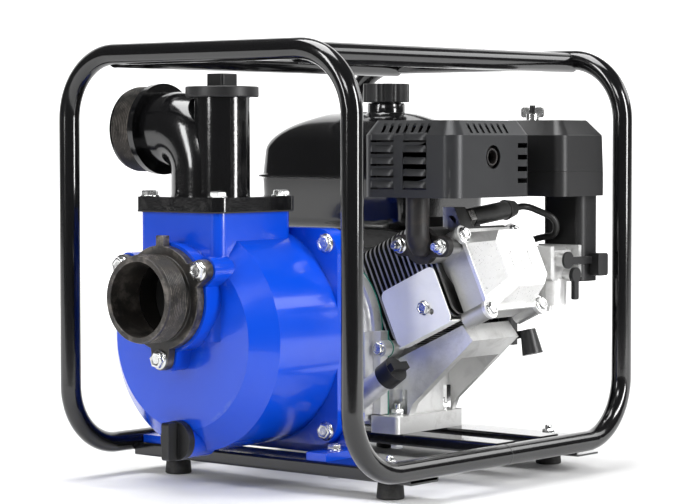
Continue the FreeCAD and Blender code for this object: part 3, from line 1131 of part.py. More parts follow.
def make_fan_housing():
    axis = (crank_x, crank_z)
    shell = along_y(*axis, fan_r, fan_y0, fan_y1)
    shell = shell.cut(along_y(*axis, fan_r - 2.5, fan_y0 - 1, fan_y1 - 2.5))
    front = along_y(*axis, fan_r, fan_y0 - 2.5, fan_y0).cut(along_y(*axis, 60, fan_y0 - 4, fan_y0 + 1))
    shell = shell.cut(along_y(*axis, recoil_r - 8, fan_y1 - 4, fan_y1 + 1))
    # air duct towards the cylinder fins
    duct = ubox(60, 128, fan_y0 - 2.5, fan_y0, -50, 60)
    legs = []
    for x in (tank_x0 + 40, tank_x1 - 40):
        legs.append(box(x - 9, x + 9, fan_y0 + 18, fan_y0 + 21, crank_z + 60, tank_z0))
        legs.append(box(x - 9, x + 9, fan_y0 + 4, fan_y0 + 34, tank_z0 - 3, tank_z0))
    outside = along_y(*axis, fan_r - 1, fan_y0 - 10, fan_y1 + 10)
    legs = [leg.cut(outside) for leg in legs]
    lead_post = box(lead_end_x - 30, lead_end_x, 176, 196, 160, 228)
    switch_box = box(switch_x - 14, switch_x + 14, fan_y1 - 16, fan_y1 + 8, switch_z - 14, switch_z + 14)
    lever_post = box(lever_x - 24, lever_x + 8, fan_y0 - 4, fan_y0, lever_z - 9, lever_z + 9)
    seats = []
    for angle in (35, 145, 215, 325):
        a = math.radians(angle)
        x = crank_x + 66 * math.cos(a)
        z = crank_z + 66 * math.sin(a)
        seats.append(along_y(x, z, 7, case_rear_y, fan_y0 - 2.5))
    front = front.fuse(seats)
    shell = shell.fuse([front, duct, lever_post] + legs + [lead_post.cut(outside), switch_box.cut(outside)])
    shell = shell.cut(along_y(*axis, 60, fan_y0 - 4, fan_y0 + 1))
    parts["fan_housing"] = shell.removeSplitter()

    dome = along_y(*axis, recoil_r, fan_y1, recoil_y1 - 8)
    dome = dome.fuse(cone_y(*axis, recoil_r, recoil_r - 14, recoil_y1 - 8, recoil_y1))
    inner = along_y(*axis, recoil_r - 3, fan_y1 - 1, recoil_y1 - 9)
    inner = inner.fuse(cone_y(*axis, recoil_r - 3, recoil_r - 16, recoil_y1 - 9, recoil_y1 - 3))
    guide = box(crank_x + recoil_r - 16, handle_x - 2, handle_y - 9, handle_y + 9, handle_z - 12,
                handle_z + 12)
    dome = dome.fuse(guide)
    post = along_y(*axis, 8, reel_y0 - 4, recoil_y1 - 1)
    dome = dome.cut(inner).fuse(post)
    slots = []
    for i in range(20):
        slot = box(crank_x + 42, crank_x + 64, recoil_y1 - 5, recoil_y1 + 1, crank_z - 2.5, crank_z + 2.5)
        slot.rotate(Vector(crank_x, 0, crank_z), Vector(0, 1, 0), 18 * i)
        slots.append(slot)
    dome = dome.cut(slots)
    dome = dome.cut(rod(crank_x + 40, handle_y, handle_z, (1, 0, 0), 4, 80))
    parts["recoil_cover"] = dome.removeSplitter()

    reel = along_y(*axis, reel_r, reel_y0, reel_y0 + 14)
    groove = along_y(*axis, reel_r + 1, reel_y0 + 4, reel_y0 + 10)
    groove = groove.cut(along_y(*axis, reel_groove_r, reel_y0, reel_y0 + 14))
    reel = reel.cut(groove).cut(along_y(*axis, 8 + shaft_gap, reel_y0 - 1, reel_y0 + 20))
    parts["recoil_reel"] = reel

    grip = round_box(handle_x, handle_x + 20, handle_y - 9, handle_y + 9, handle_z - 34, handle_z + 34, 7)
    stem = rod(handle_x - 2 + fit_gap, handle_y, handle_z, (1, 0, 0), 8, 5)
    parts["starter_handle"] = grip.fuse(stem).removeSplitter()

    knob_y = fan_y1 + 8 + fit_gap
    knob = along_y(switch_x, switch_z, 11, knob_y, knob_y + 8)
    knob = knob.fuse(box(switch_x - 3, switch_x + 3, knob_y + 8, knob_y + 15, switch_z - 10, switch_z + 10))
    parts["engine_switch"] = knob.removeSplitter()

    lever_y1 = fan_y0 - 4 - fit_gap
    arm = along_y(lever_x, lever_z, 9, lever_y1 - 3, lever_y1)
    tip_x = lever_x + lever_length * math.cos(math.radians(lever_slope))
    tip_z = lever_z + lever_length * math.sin(math.radians(lever_slope))
    bar = box(lever_x, lever_x + lever_length, lever_y1 - 3, lever_y1, lever_z - 4, lever_z + 4)
    bar.rotate(Vector(lever_x, 0, lever_z), Vector(0, 1, 0), -lever_slope)
    knob = Part.makeCone(8, 11, 26, Vector(tip_x, lever_y1 - 1.5, tip_z + 4), Vector(0.25, 0, -1))
    parts["throttle_lever"] = arm.fuse([bar, knob]).removeSplitter()


make_frame()
make_pump()
bolts_on_engine = make_case()
make_crank_train()
make_cylinder(bolts_on_engine)
parts["engine_cover_bolts"] = group(bolts_on_engine)
make_exhaust()
make_intake()
make_ignition()
make_tank()
make_fan_housing()

os.makedirs("parts", exist_ok=True)
for name, shape in parts.items():
    shape.exportStep("parts/" + name + ".step")
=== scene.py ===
import json
import math

import bmesh
import bpy
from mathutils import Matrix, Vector


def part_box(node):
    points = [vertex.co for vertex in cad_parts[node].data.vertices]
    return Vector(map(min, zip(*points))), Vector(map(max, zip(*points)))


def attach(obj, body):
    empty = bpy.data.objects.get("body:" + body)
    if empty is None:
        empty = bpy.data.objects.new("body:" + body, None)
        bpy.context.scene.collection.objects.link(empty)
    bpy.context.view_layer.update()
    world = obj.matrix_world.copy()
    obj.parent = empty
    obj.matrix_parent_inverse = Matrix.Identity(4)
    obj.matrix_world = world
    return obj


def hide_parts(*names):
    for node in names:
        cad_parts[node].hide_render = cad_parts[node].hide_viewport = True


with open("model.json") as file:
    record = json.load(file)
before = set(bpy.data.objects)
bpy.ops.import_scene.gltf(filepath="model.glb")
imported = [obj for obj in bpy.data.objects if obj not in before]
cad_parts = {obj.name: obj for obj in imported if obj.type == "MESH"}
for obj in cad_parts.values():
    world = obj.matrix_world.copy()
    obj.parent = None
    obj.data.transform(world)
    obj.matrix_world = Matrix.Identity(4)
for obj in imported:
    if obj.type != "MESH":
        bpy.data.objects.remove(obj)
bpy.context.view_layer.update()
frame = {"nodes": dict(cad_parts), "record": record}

# ---- studio sweep ----------------------------------------------------------------------------
# A pale floor that runs up behind the machine, lit by a large soft source overhead, two long
# side boxes and a low front fill; away from the machine the floor also glows by itself, a painted
# glow. The camera is a long lens at the height of the engine.


class Reading:
    """A shader socket that takes part in sums: numbers and sockets mix freely."""

    def __init__(self, finish, socket):
        self.finish = finish
        self.socket = socket

    def _math(self, operation, first, second):
        return self.finish.node("ShaderNodeMath", {"operation": operation}, {0: first, 1: second})

    def __add__(self, other):
        return self._math("ADD", self, other)

    __radd__ = __add__

    def __sub__(self, other):
        return self._math("SUBTRACT", self, other)

    def __rsub__(self, other):
        return self._math("SUBTRACT", other, self)

    def __mul__(self, other):
        return self._math("MULTIPLY", self, other)

    __rmul__ = __mul__

    def __pow__(self, other):
        return self._math("POWER", self, other)


class Finish:
    """One surface finish: a Principled shader and the nodes that feed it."""

    def __init__(self, name, **fixed):
        self.material = bpy.data.materials.new(name)
        self.material.use_nodes = True
        self.tree = self.material.node_tree
        self.shader = self.tree.nodes["Principled BSDF"]
        for socket, value in fixed.items():
            self.shader.inputs[socket.replace("_", " ")].default_value = value
        self.place = self.node("ShaderNodeTexCoord", {}, {}, "Object")

    def node(self, kind, settings, sockets, output=0):
        made = self.tree.nodes.new(kind)
        for key, value in settings.items():
            if key == "stops":
                ramp = made.color_ramp.elements
                while len(ramp) < len(value):
                    ramp.new(0.5)
                for stop, (position, shade) in zip(ramp, value):
                    stop.position = position
                    stop.color = shade if hasattr(shade, "__len__") else (shade, shade, shade, 1)
            else:
                setattr(made, key, value)
        for key, value in sockets.items():
            if isinstance(value, Reading):
                self.tree.links.new(value.socket, made.inputs[key])
            else:
                made.inputs[key].default_value = value
        return Reading(self, made.outputs[output])

    def feed(self, socket, reading):
        self.tree.links.new(reading.socket, self.shader.inputs[socket])

    def noise(self, scale, detail=4, rough=0.55, warp=0.0):
        sockets = {"Vector": self.place, "Scale": scale, "Detail": detail, "Roughness": rough,
                   "Distortion": warp}
        return self.node("ShaderNodeTexNoise", {}, sockets, "Fac")

    def ramp(self, reading, low, high):
        return self.node("ShaderNodeValToRGB", {"stops": [(low, 0.0), (high, 1.0)]}, {"Fac": reading})

    def mix(self, mask, first, second):
        settings = {"data_type": "RGBA"}
        return self.node("ShaderNodeMix", settings, {0: mask, 6: first, 7: second}, 2)

    def bump(self, *layers):
        """Layers of (height reading, distance in metres), the coarse one first."""
        normal = None
        for height, distance in layers:
            sockets = {"Strength": 1.0, "Distance": distance, "Height": height}
            if normal is not None:
                sockets["Normal"] = normal
            normal = self.node("ShaderNodeBump", {}, sockets)
        self.feed("Normal", normal)

    def worn_edges(self, low=0.52, high=0.62):
        """Where the surface is convex, broken up so that the wear is patchy."""
        point = self.node("ShaderNodeNewGeometry", {}, {}, "Pointiness")
        edge = self.ramp(point, low, high)
        return edge * self.ramp(self.noise(70, 6, 0.7), 0.48, 0.62)

    def dust(self, amount):
        """A little dust on faces that look up."""
        facing = self.node("ShaderNodeNewGeometry", {}, {}, "Normal")
        up = self.node("ShaderNodeSeparateXYZ", {}, {0: facing}, "Z")
        return self.ramp(up, 0.35, 1.0) * self.ramp(self.noise(38, 8, 0.7), 0.35, 0.75) * amount


def rgba(red, green, blue):
    return (red, green, blue, 1.0)


floor_finish = Finish("sweep_paper", Roughness=0.85, Specular_IOR_Level=0.15, Emission_Strength=1.0)
# Painted glow: the sweep glows by itself, not at all within about 0.48 m of the machine and rising to full
# white about 2.4 m out, so the backdrop reads white while the floor near the machine keeps its shadows.
from_middle = floor_finish.node("ShaderNodeVectorMath", {"operation": "LENGTH"},
                                {0: floor_finish.place}, "Value")
floor_finish.feed("Emission Color", floor_finish.ramp(from_middle * 0.25, 0.12, 0.6))
paper_speck = floor_finish.noise(90, 6)
floor_finish.feed("Base Color", floor_finish.mix(paper_speck, rgba(0.76, 0.76, 0.76), rgba(0.79, 0.79, 0.79)))
floor_finish.bump((floor_finish.noise(400), 0.0001))

sweep = bmesh.new()
sweep_rows = []
for step in range(25):
    angle = max(0.0, min(1.0, (step - 8) / 12)) * math.pi / 2
    run = min(step, 8) * 0.45 - 2.2
    reach = run + (math.sin(angle) * 1.6)
    rise = (1 - math.cos(angle)) * 1.6 + max(0, step - 20) * 0.6
    sweep_rows.append([sweep.verts.new((side * 6.0, reach + 1.2, rise - 0.0003)) for side in (-1, 1)])
for low_row, high_row in zip(sweep_rows, sweep_rows[1:]):
    sweep.faces.new((low_row[0], low_row[1], high_row[1], high_row[0]))
sweep_mesh = bpy.data.meshes.new("sweep")
sweep.to_mesh(sweep_mesh)
sweep_mesh.shade_smooth()
sweep_mesh.materials.append(floor_finish.material)
sweep_floor = bpy.data.objects.new("sweep", sweep_mesh)
bpy.context.scene.collection.objects.link(sweep_floor)
sweep_floor.rotation_euler = (0, 0, math.radians(40))

world = bpy.data.worlds.new("studio_air")
bpy.context.scene.world = world
world.use_nodes = True
air = world.node_tree.nodes["Background"]
air.inputs["Color"].default_value = rgba(1.0, 1.0, 1.0)
seen_directly = world.node_tree.nodes.new("ShaderNodeLightPath")
air_level = world.node_tree.nodes.new("ShaderNodeMapRange")
air_level.inputs["To Min"].default_value = 0.1
air_level.inputs["To Max"].default_value = 0.95
world.node_tree.links.new(seen_directly.outputs["Is Camera Ray"], air_level.inputs["Value"])
world.node_tree.links.new(air_level.outputs["Result"], air.inputs["Strength"])
bpy.context.scene.view_settings.view_transform = "Standard"


def soft_box(name, place, target, width, height, power):
    lamp = bpy.data.lights.new(name, "AREA")
    lamp.shape = "RECTANGLE"
    lamp.size, lamp.size_y = width, height
    lamp.energy = power
    holder = bpy.data.objects.new(name, lamp)
    holder.location = place
    holder.rotation_euler = (Vector(target) - Vector(place)).to_track_quat("-Z", "Y").to_euler()
    holder.visible_camera = False
    bpy.context.scene.collection.objects.link(holder)


machine_middle = (0.0, 0.0, 0.22)
soft_box("overhead_box", (-0.2, -0.2, 2.1), machine_middle, 1.3, 1.3, 50)
soft_box("left_box", (-0.5, -2.1, 1.1), machine_middle, 0.35, 1.5, 26)
soft_box("right_box", (2.0, 0.25, 0.9), machine_middle, 0.4, 1.5, 48)
soft_box("front_fill", (0.9, -2.4, 1.6), machine_middle, 0.8, 0.5, 16)
soft_box("back_box", (1.15, 1.9, 1.35), machine_middle, 1.2, 0.8, 11)

camera = bpy.data.cameras.new("long_lens")
camera.sensor_width = 36.0
camera.lens = 126.45
camera.clip_end = 20.0
tripod = bpy.data.objects.new("long_lens", camera)
tripod.location = (1.6298, -1.9362, 0.3509)
tripod.rotation_euler = (math.radians(90 - 2.64), math.radians(0.03), math.radians(40.01))
bpy.context.scene.collection.objects.link(tripod)
bpy.context.scene.camera = tripod

# ---- bent tube frame -------------------------------------------------------------------------
# Two hoops of stock steel tube, sleeved together in the bottom rails and joined by two straight
# rails at the top. Bent cold, welded, then powder coated gloss black.


def body_holding(node):
    for body, members in frame["record"]["behaviour"]["bodies"].items():
        if node in members:
            return body


def settle(piece, finish, node, replaced=True):
    """Gives a new piece its finish and fastens it to the body of the node that it stands for."""
    piece.data.materials.clear()
    piece.data.materials.append(finish.material)
    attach(piece, body_holding(node))
    if replaced:
        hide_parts(node)
    return piece


def piece_from(name, mesh, sharp=35):
    mesh.shade_smooth()
    mesh.set_sharp_from_angle(angle=math.radians(sharp))
    piece = bpy.data.objects.new(name, mesh)
    bpy.context.scene.collection.objects.link(piece)
    return piece


def eased(node, edge, segments=2, angle=32, change=None):
    """A copy of the node with its corners broken by a small radius, as on the real piece."""
    work = bmesh.new()
    work.from_mesh(frame["nodes"][node].data)
    bmesh.ops.remove_doubles(work, verts=work.verts, dist=2e-6)
    if change:
        change(work)
    bmesh.ops.dissolve_limit(work, angle_limit=math.radians(0.6), verts=work.verts, edges=work.edges,
                             delimit={"NORMAL"})
    rough_mesh = bpy.data.meshes.new(node + "_rough")
    work.to_mesh(rough_mesh)
    work.free()
    rough = bpy.data.objects.new(node + "_rough", rough_mesh)
    bpy.context.scene.collection.objects.link(rough)
    round_off = rough.modifiers.new("edges", "BEVEL")
    round_off.width = edge
    round_off.segments = segments
    round_off.limit_method = "ANGLE"
    round_off.angle_limit = math.radians(angle)
    round_off.miter_outer = "MITER_ARC"
    even = rough.modifiers.new("shading", "WEIGHTED_NORMAL")
    even.keep_sharp = True
    rough_mesh.shade_smooth()
    bpy.context.view_layer.update()
    solved = rough.evaluated_get(bpy.context.evaluated_depsgraph_get())
    mesh = bpy.data.meshes.new_from_object(solved)
    mesh.name = node + "_eased"
    bpy.data.objects.remove(rough)
    piece = bpy.data.objects.new(node + "_eased", mesh)
    bpy.context.scene.collection.objects.link(piece)
    return piece


def gloss_black(name, ripple=0.00006):
    finish = Finish(name, Specular_IOR_Level=0.5, Coat_Roughness=0.06, Coat_Weight=0.35)
    smear = finish.noise(9, 5, 0.6, 0.4)
    wear = finish.worn_edges(0.56, 0.66) * 0.3 + finish.dust(0.02)
    finish.feed("Base Color", finish.mix(wear, rgba(0.0032, 0.0032, 0.0036), rgba(0.09, 0.088, 0.085)))
    finish.feed("Roughness", smear * 0.12 + 0.09)
    finish.bump((finish.noise(55, 3), ripple), (finish.noise(420, 2), ripple * 0.35))
    return finish


frame_black = gloss_black("frame_powder_coat")
for node in ("front_hoop", "rear_hoop", "top_rail_left", "top_rail_right"):
    settle(eased(node, 0.0004, 1, 50), frame_black, node)

# the sleeve joint shows as a fine ring round each bottom rail
seam_low, seam_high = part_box("rear_hoop")
tube_radius = 0.01065
for side in (-1, 1):
    ring = bmesh.new()
    rail_x = side * (seam_high.x - tube_radius)
    around = 64
    rows = []
    for along, grow in ((-0.0012, 0.0), (-0.0006, 0.00035), (0.0006, 0.00035), (0.0012, 0.0)):
        row = []
        for step in range(around):
            angle = 2 * math.pi * step / around
            radius = tube_radius - 0.0001 + grow
            row.append(ring.verts.new((rail_x + radius * math.cos(angle) * 0.985, seam_low.y + along,
                                       0.034 + radius * math.sin(angle))))
        rows.append(row)
    for low_row, high_row in zip(rows, rows[1:]):
        for step in range(around):
            following = (step + 1) % around
            ring.faces.new((low_row[step], low_row[following], high_row[following], high_row[step]))
    ring_mesh = bpy.data.meshes.new("rail_sleeve")
    ring.to_mesh(ring_mesh)
    settle(piece_from("rail_sleeve_%d" % (side + 1), ring_mesh), frame_black, "rear_hoop", False)

# ---- cross bars and rubber feet --------------------------------------------------------------
# Rectangular tube bars cut to fit between the rails and welded in. A moulded rubber foot is
# bolted up under each end of the first and last bar.
bar_black = gloss_black("bar_powder_coat", 0.0001)
for node in ("front_cross_bar", "rear_cross_bar", "engine_cross_bars"):
    settle(eased(node, 0.0008), bar_black, node)

foot_rubber = Finish("foot_rubber", Specular_IOR_Level=0.35)
scuff = foot_rubber.noise(60, 8, 0.7)
foot_rubber.feed("Base Color", foot_rubber.mix(foot_rubber.ramp(scuff, 0.45, 0.75), rgba(0.012, 0.012, 0.012),
                                               rgba(0.05, 0.048, 0.045)))
foot_rubber.feed("Roughness", scuff * 0.25 + 0.5)
foot_rubber.bump((foot_rubber.noise(300, 5), 0.0002))
settle(eased("rubber_feet", 0.0014, 3), foot_rubber, "rubber_feet")

# ---- pump housing and bracket ----------------------------------------------------------------
# Aluminium castings, machined where they meet, then sprayed a glossy saturated blue. The square
# flange at the back is bolted to the bracket that carries the pump on the engine.
pump_blue = Finish("pump_blue_enamel", Specular_IOR_Level=0.4, Coat_Roughness=0.04, Coat_Weight=0.3)
flow = pump_blue.noise(6, 4, 0.55, 0.5)
chip = pump_blue.worn_edges(0.57, 0.68) * 0.5 + pump_blue.dust(0.06)
deep = pump_blue.mix(flow, rgba(0.0004, 0.042, 0.45), rgba(0.0006, 0.062, 0.58))
outer_coat = pump_blue.mix(chip, deep, rgba(0.08, 0.16, 0.42))
here = [pump_blue.node("ShaderNodeSeparateXYZ", {}, {0: pump_blue.place}, axis) for axis in "XYZ"]
# Painted shade: within 37.6 mm of the suction port's axis the blue gives way to near black, so the inside of
# the bore is coloured as the shade deep in it.
off_port = (here[0] + 0.050) * (here[0] + 0.050) + (here[2] - 0.195) * (here[2] - 0.195)
bore_shade_mask = pump_blue.node("ShaderNodeMath", {"operation": "LESS_THAN"}, {0: off_port, 1: 0.0376 ** 2})
pump_blue.feed("Base Color", pump_blue.mix(bore_shade_mask, outer_coat, rgba(0.01, 0.009, 0.008)))
pump_blue.feed("Roughness", pump_blue.noise(14, 5, 0.6) * 0.16 + 0.16)
pump_blue.bump((pump_blue.noise(38, 4), 0.00028), (pump_blue.noise(360, 3), 0.00004))
settle(eased("pump_housing", 0.0022, 3), pump_blue, "pump_housing")
settle(eased("pump_bracket", 0.0016, 3), pump_blue, "pump_bracket")

# ---- suction port ----------------------------------------------------------------------------
# Black coated casting with a fine coupling thread, held by three flange bolts. The coat is rubbed
# brown-grey on the thread crests and at the rim.
port_black = Finish("port_coating", Specular_IOR_Level=0.45)
rubbed = port_black.worn_edges(0.5, 0.57)
stain = port_black.ramp(port_black.noise(26, 7, 0.7, 0.6), 0.42, 0.7)
port_base = port_black.mix(stain * 0.7, rgba(0.012, 0.0115, 0.011), rgba(0.06, 0.05, 0.042))
port_black.feed("Base Color", port_black.mix(rubbed * 0.75, port_base, rgba(0.32, 0.29, 0.26)))
port_black.feed("Roughness", stain * 0.2 + 0.3)
port_black.feed("Metallic", rubbed * 0.6)
port_black.bump((port_black.noise(120, 5, 0.6), 0.00012), (port_black.noise(500, 3), 0.00005))

THREAD_CREST = 0.04394
THREAD_ROOT = 0.0429
THREAD_PITCH = 0.0023


def shrink_thread(centre, along, start, end):
    """Takes the plain crest surface in to the thread's root, so that the ridges can stand on it."""
    def change(work):
        for vert in work.verts:
            travel = (vert.co - centre).dot(along)
            out = (vert.co - centre) - along * travel
            if start - 1e-5 <= travel <= end + 1e-5 and abs(out.length - THREAD_CREST) < 2e-4:
                vert.co -= out.normalized() * (THREAD_CREST - THREAD_ROOT)
    return change


def turned_piece(name, centre, along, profile, around=128):
    """A mesh turned about an axis from (distance along, radius) points; ends stay open."""
    across = along.orthogonal().normalized()
    third = along.cross(across)
    turn = bmesh.new()
    rows = []
    for travel, radius in profile:
        row = []
        for step in range(around):
            angle = 2 * math.pi * step / around
            out = across * math.cos(angle) + third * math.sin(angle)
            row.append(turn.verts.new(centre + along * travel + out * radius))
        rows.append(row)
    for low_row, high_row in zip(rows, rows[1:]):
        for step in range(around):
            following = (step + 1) % around
            turn.faces.new((low_row[step], low_row[following], high_row[following], high_row[step]))
    bmesh.ops.recalc_face_normals(turn, faces=turn.faces)
    mesh = bpy.data.meshes.new(name)
    turn.to_mesh(mesh)
    turn.free()
    return piece_from(name, mesh)


def thread_ridges(name, centre, along, start, end):
    profile = [(start, THREAD_ROOT - 0.0004)]
    travel = start
    while travel + THREAD_PITCH < end:
        profile += [(travel + 0.15 * THREAD_PITCH, THREAD_ROOT + 0.0001),
                    (travel + 0.45 * THREAD_PITCH, THREAD_CREST - 0.00005),
                    (travel + 0.6 * THREAD_PITCH, THREAD_CREST - 0.00005),
                    (travel + 0.9 * THREAD_PITCH, THREAD_ROOT + 0.0001)]
        travel += THREAD_PITCH
    profile.append((travel, THREAD_ROOT - 0.0004))
    return turned_piece(name, centre, along, profile)


suction_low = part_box("suction_port")[0]
suction_centre = Vector((-0.050, suction_low.y, 0.195))
inward = Vector((0, 1, 0))
settle(eased("suction_port", 0.0011, 3, change=shrink_thread(suction_centre, inward, 0.0, 0.0313)),
       port_black, "suction_port")
settle(thread_ridges("suction_thread_ridges", suction_centre, inward, 0.0035, 0.027), port_black,
       "suction_port", False)

# ---- discharge elbow -------------------------------------------------------------------------
# One black casting: a square foot plate, a swept outlet with its coupling thread, and the upright
# priming neck. It is sprayed gloss black and bolted down on a thin gasket.
outlet_black = gloss_black("outlet_enamel", 0.00016)
elbow_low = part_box("discharge_elbow")[0]
outlet_centre = Vector((elbow_low.x, -0.139, 0.3625))
outlet_axis = Vector((1, 0, 0))
settle(eased("discharge_elbow", 0.0018, 3, change=shrink_thread(outlet_centre, outlet_axis, 0.0, 0.0302)),
       outlet_black, "discharge_elbow")
settle(thread_ridges("discharge_thread_ridges", outlet_centre, outlet_axis, 0.003, 0.028), port_black,
       "discharge_elbow", False)

seal_rubber = Finish("seal_rubber", Specular_IOR_Level=0.3)
seal_speck = seal_rubber.noise(200, 5)
seal_rubber.feed("Base Color", seal_rubber.mix(seal_speck, rgba(0.012, 0.012, 0.012), rgba(0.03, 0.03, 0.03)))
seal_rubber.feed("Roughness", seal_speck * 0.2 + 0.55)
seal_rubber.bump((seal_speck, 0.0001))
for node in ("discharge_gasket", "check_valve_flap"):
    settle(eased(node, 0.0004), seal_rubber, node)

# ---- screwed caps and plugs ------------------------------------------------------------------
# Glass-filled nylon mouldings with a bar or block to grip: priming cap, drain plug, oil filler
# plug, and the lobed fuel cap.
moulded_black = Finish("moulded_nylon", Specular_IOR_Level=0.45)
grain = moulded_black.noise(700, 3, 0.6)
handled = moulded_black.noise(22, 6, 0.65, 0.4)
moulded_wear = moulded_black.worn_edges(0.55, 0.66) * 0.4 + moulded_black.dust(0.1)
moulded_black.feed("Base Color", moulded_black.mix(moulded_wear, rgba(0.0085, 0.0085, 0.009),
                                                   rgba(0.075, 0.073, 0.07)))
moulded_black.feed("Roughness", handled * 0.2 + 0.3)
moulded_black.bump((handled, 0.0001), (grain, 0.00005))
for node, edge in (("priming_cap", 0.0012), ("drain_plug", 0.0016), ("oil_filler_plug", 0.0012),
                   ("fuel_cap", 0.0016)):
    settle(eased(node, edge, 3), moulded_black, node)

# ---- inside the pump -------------------------------------------------------------------------
# Cast iron impeller and volute, and the shaft seal. They show only through the suction port.
bare_iron = Finish("bare_iron", Metallic=1.0)
iron_grit = bare_iron.noise(180, 8, 0.7)
rust = bare_iron.ramp(bare_iron.noise(40, 6, 0.7, 0.8), 0.5, 0.7)
bare_iron.feed("Base Color", bare_iron.mix(rust * 0.6, rgba(0.12, 0.115, 0.11), rgba(0.14, 0.07, 0.035)))
bare_iron.feed("Roughness", iron_grit * 0.3 + 0.45)
bare_iron.bump((iron_grit, 0.0004))
for node in ("impeller", "volute", "mechanical_seal"):
    settle(eased(node, 0.001), bare_iron, node)

# ---- crankcase, cover and gasket -------------------------------------------------------------
# Pressure die cast aluminium, left as cast but for the machined joint faces, with the green edge
# of a coated gasket showing between case and cover.


def cast_aluminium(name, shade, rough=0.42, grit=0.00022):
    finish = Finish(name, Metallic=0.6)
    blotch = finish.noise(16, 6, 0.6, 0.5)
    fine = finish.noise(420, 6, 0.75)
    grime = finish.ramp(finish.noise(30, 7, 0.7, 0.8), 0.5, 0.78) * 0.5 + finish.dust(0.12)
    bright = finish.worn_edges(0.53, 0.62) * 0.6
    low = rgba(shade * 0.74, shade * 0.74, shade * 0.73)
    high = rgba(shade, shade, shade * 0.99)
    cast = finish.mix(grime, finish.mix(blotch, low, high), rgba(shade * 0.32, shade * 0.31, shade * 0.29))
    finish.feed("Base Color", finish.mix(bright, cast, rgba(0.86, 0.86, 0.86)))
    finish.feed("Roughness", fine * 0.14 + grime * 0.22 + (rough - 0.12))
    finish.bump((finish.noise(80, 5), grit), (fine, grit * 0.5))
    return finish


case_metal = cast_aluminium("case_casting", 0.86, 0.4)
for node in ("crankcase", "crankcase_cover"):
    settle(eased(node, 0.0016, 3), case_metal, node)

gasket_green = Finish("gasket_coating", Roughness=0.6)
gasket_green.feed("Base Color", gasket_green.mix(gasket_green.noise(120), rgba(0.0, 0.16, 0.12),
                                                 rgba(0.02, 0.28, 0.2)))
settle(eased("cover_gasket", 0.0001, 1), gasket_green, "cover_gasket")

# ---- moving metal inside the engine ----------------------------------------------------------
# Forged crankshaft in two webs, connecting rod, piston and pins, all turned or ground.
ground_steel = Finish("ground_steel", Metallic=1.0)
turning = ground_steel.noise(900, 2, 0.4)
oil_film = ground_steel.noise(20, 5)
ground_steel.feed("Base Color", ground_steel.mix(oil_film, rgba(0.5, 0.5, 0.49), rgba(0.66, 0.65, 0.63)))
ground_steel.feed("Roughness", turning * 0.12 + 0.2)
ground_steel.bump((turning, 0.00003))
for node in ("crankshaft", "crankpin", "wrist_pin", "crank_bearings", "connecting_rod", "piston",
             "flywheel"):
    settle(eased(node, 0.0005), ground_steel, node)

# ---- cylinder barrel and head ----------------------------------------------------------------
# Finned castings bolted up on the crankcase at 25 degrees. The flanks of the fins are dark with
# heat and shadow, and their milled rims are bright.
CYLINDER_TILT = math.radians(25)
bore_axis = Vector((math.cos(CYLINDER_TILT), 0, math.sin(CYLINDER_TILT)))
cross_axis = Vector((-math.sin(CYLINDER_TILT), 0, math.cos(CYLINDER_TILT)))
crank_middle = Vector((-0.050, 0.0, 0.152))


def finned_metal(name, rim, flank):
    finish = Finish(name, Metallic=0.85)
    facing = finish.node("ShaderNodeNewGeometry", {}, {}, "Normal")
    sockets = {0: facing, 1: tuple(bore_axis)}
    along_bore = finish.node("ShaderNodeVectorMath", {"operation": "DOT_PRODUCT"}, sockets, "Value")
    flat_of_fin = finish.ramp(along_bore * along_bore, 0.35, 0.75)
    soot = finish.noise(45, 7, 0.7, 0.5)
    rim_tone = finish.mix(soot, rgba(rim * 0.62, rim * 0.62, rim * 0.61), rgba(rim, rim, rim))
    flank_tone = finish.mix(soot, rgba(flank * 0.5, flank * 0.5, flank * 0.48), rgba(flank, flank, flank))
    finish.feed("Base Color", finish.mix(flat_of_fin, rim_tone, flank_tone))
    finish.feed("Roughness", soot * 0.25 + 0.32)
    finish.bump((finish.noise(260, 6, 0.7), 0.00025))
    return finish


settle(eased("cylinder_barrel", 0.0005, 2), finned_metal("barrel_fins", 0.4, 0.05), "cylinder_barrel")
settle(eased("cylinder_head", 0.0008, 2), finned_metal("head_fins", 0.6, 0.12), "cylinder_head")

# ---- air shield ------------------------------------------------------------------------------
# Bright rolled steel sheet, folded along its lower edge and held to the head by one bolt.
shield_sheet = Finish("rolled_sheet", Metallic=0.35)
rolling = shield_sheet.node("ShaderNodeMapping", {}, {"Vector": shield_sheet.place, "Scale": (30, 30, 900)})
rolled = shield_sheet.node("ShaderNodeTexNoise", {}, {"Vector": rolling, "Scale": 1.0, "Detail": 3.0}, "Fac")
tarnish = shield_sheet.noise(28, 6, 0.65, 0.9)
shield_sheet.feed("Base Color", shield_sheet.mix(tarnish, rgba(0.84, 0.84, 0.8), rgba(0.96, 0.96, 0.93)))
shield_sheet.feed("Roughness", rolled * 0.1 + tarnish * 0.2 + 0.28)
shield_sheet.bump((tarnish, 0.0006), (rolled, 0.00002))
settle(eased("air_shield", 0.0006), shield_sheet, "air_shield")

# ---- rocker cover ----------------------------------------------------------------------------
# Satin die casting with faceted sides and a bolted foot. Three plain ribs are raised on its face
# and a groove runs round above the foot.
rocker_metal = cast_aluminium("rocker_casting", 0.92, 0.34, 0.00012)
settle(eased("rocker_cover", 0.0024, 4), rocker_metal, "rocker_cover")

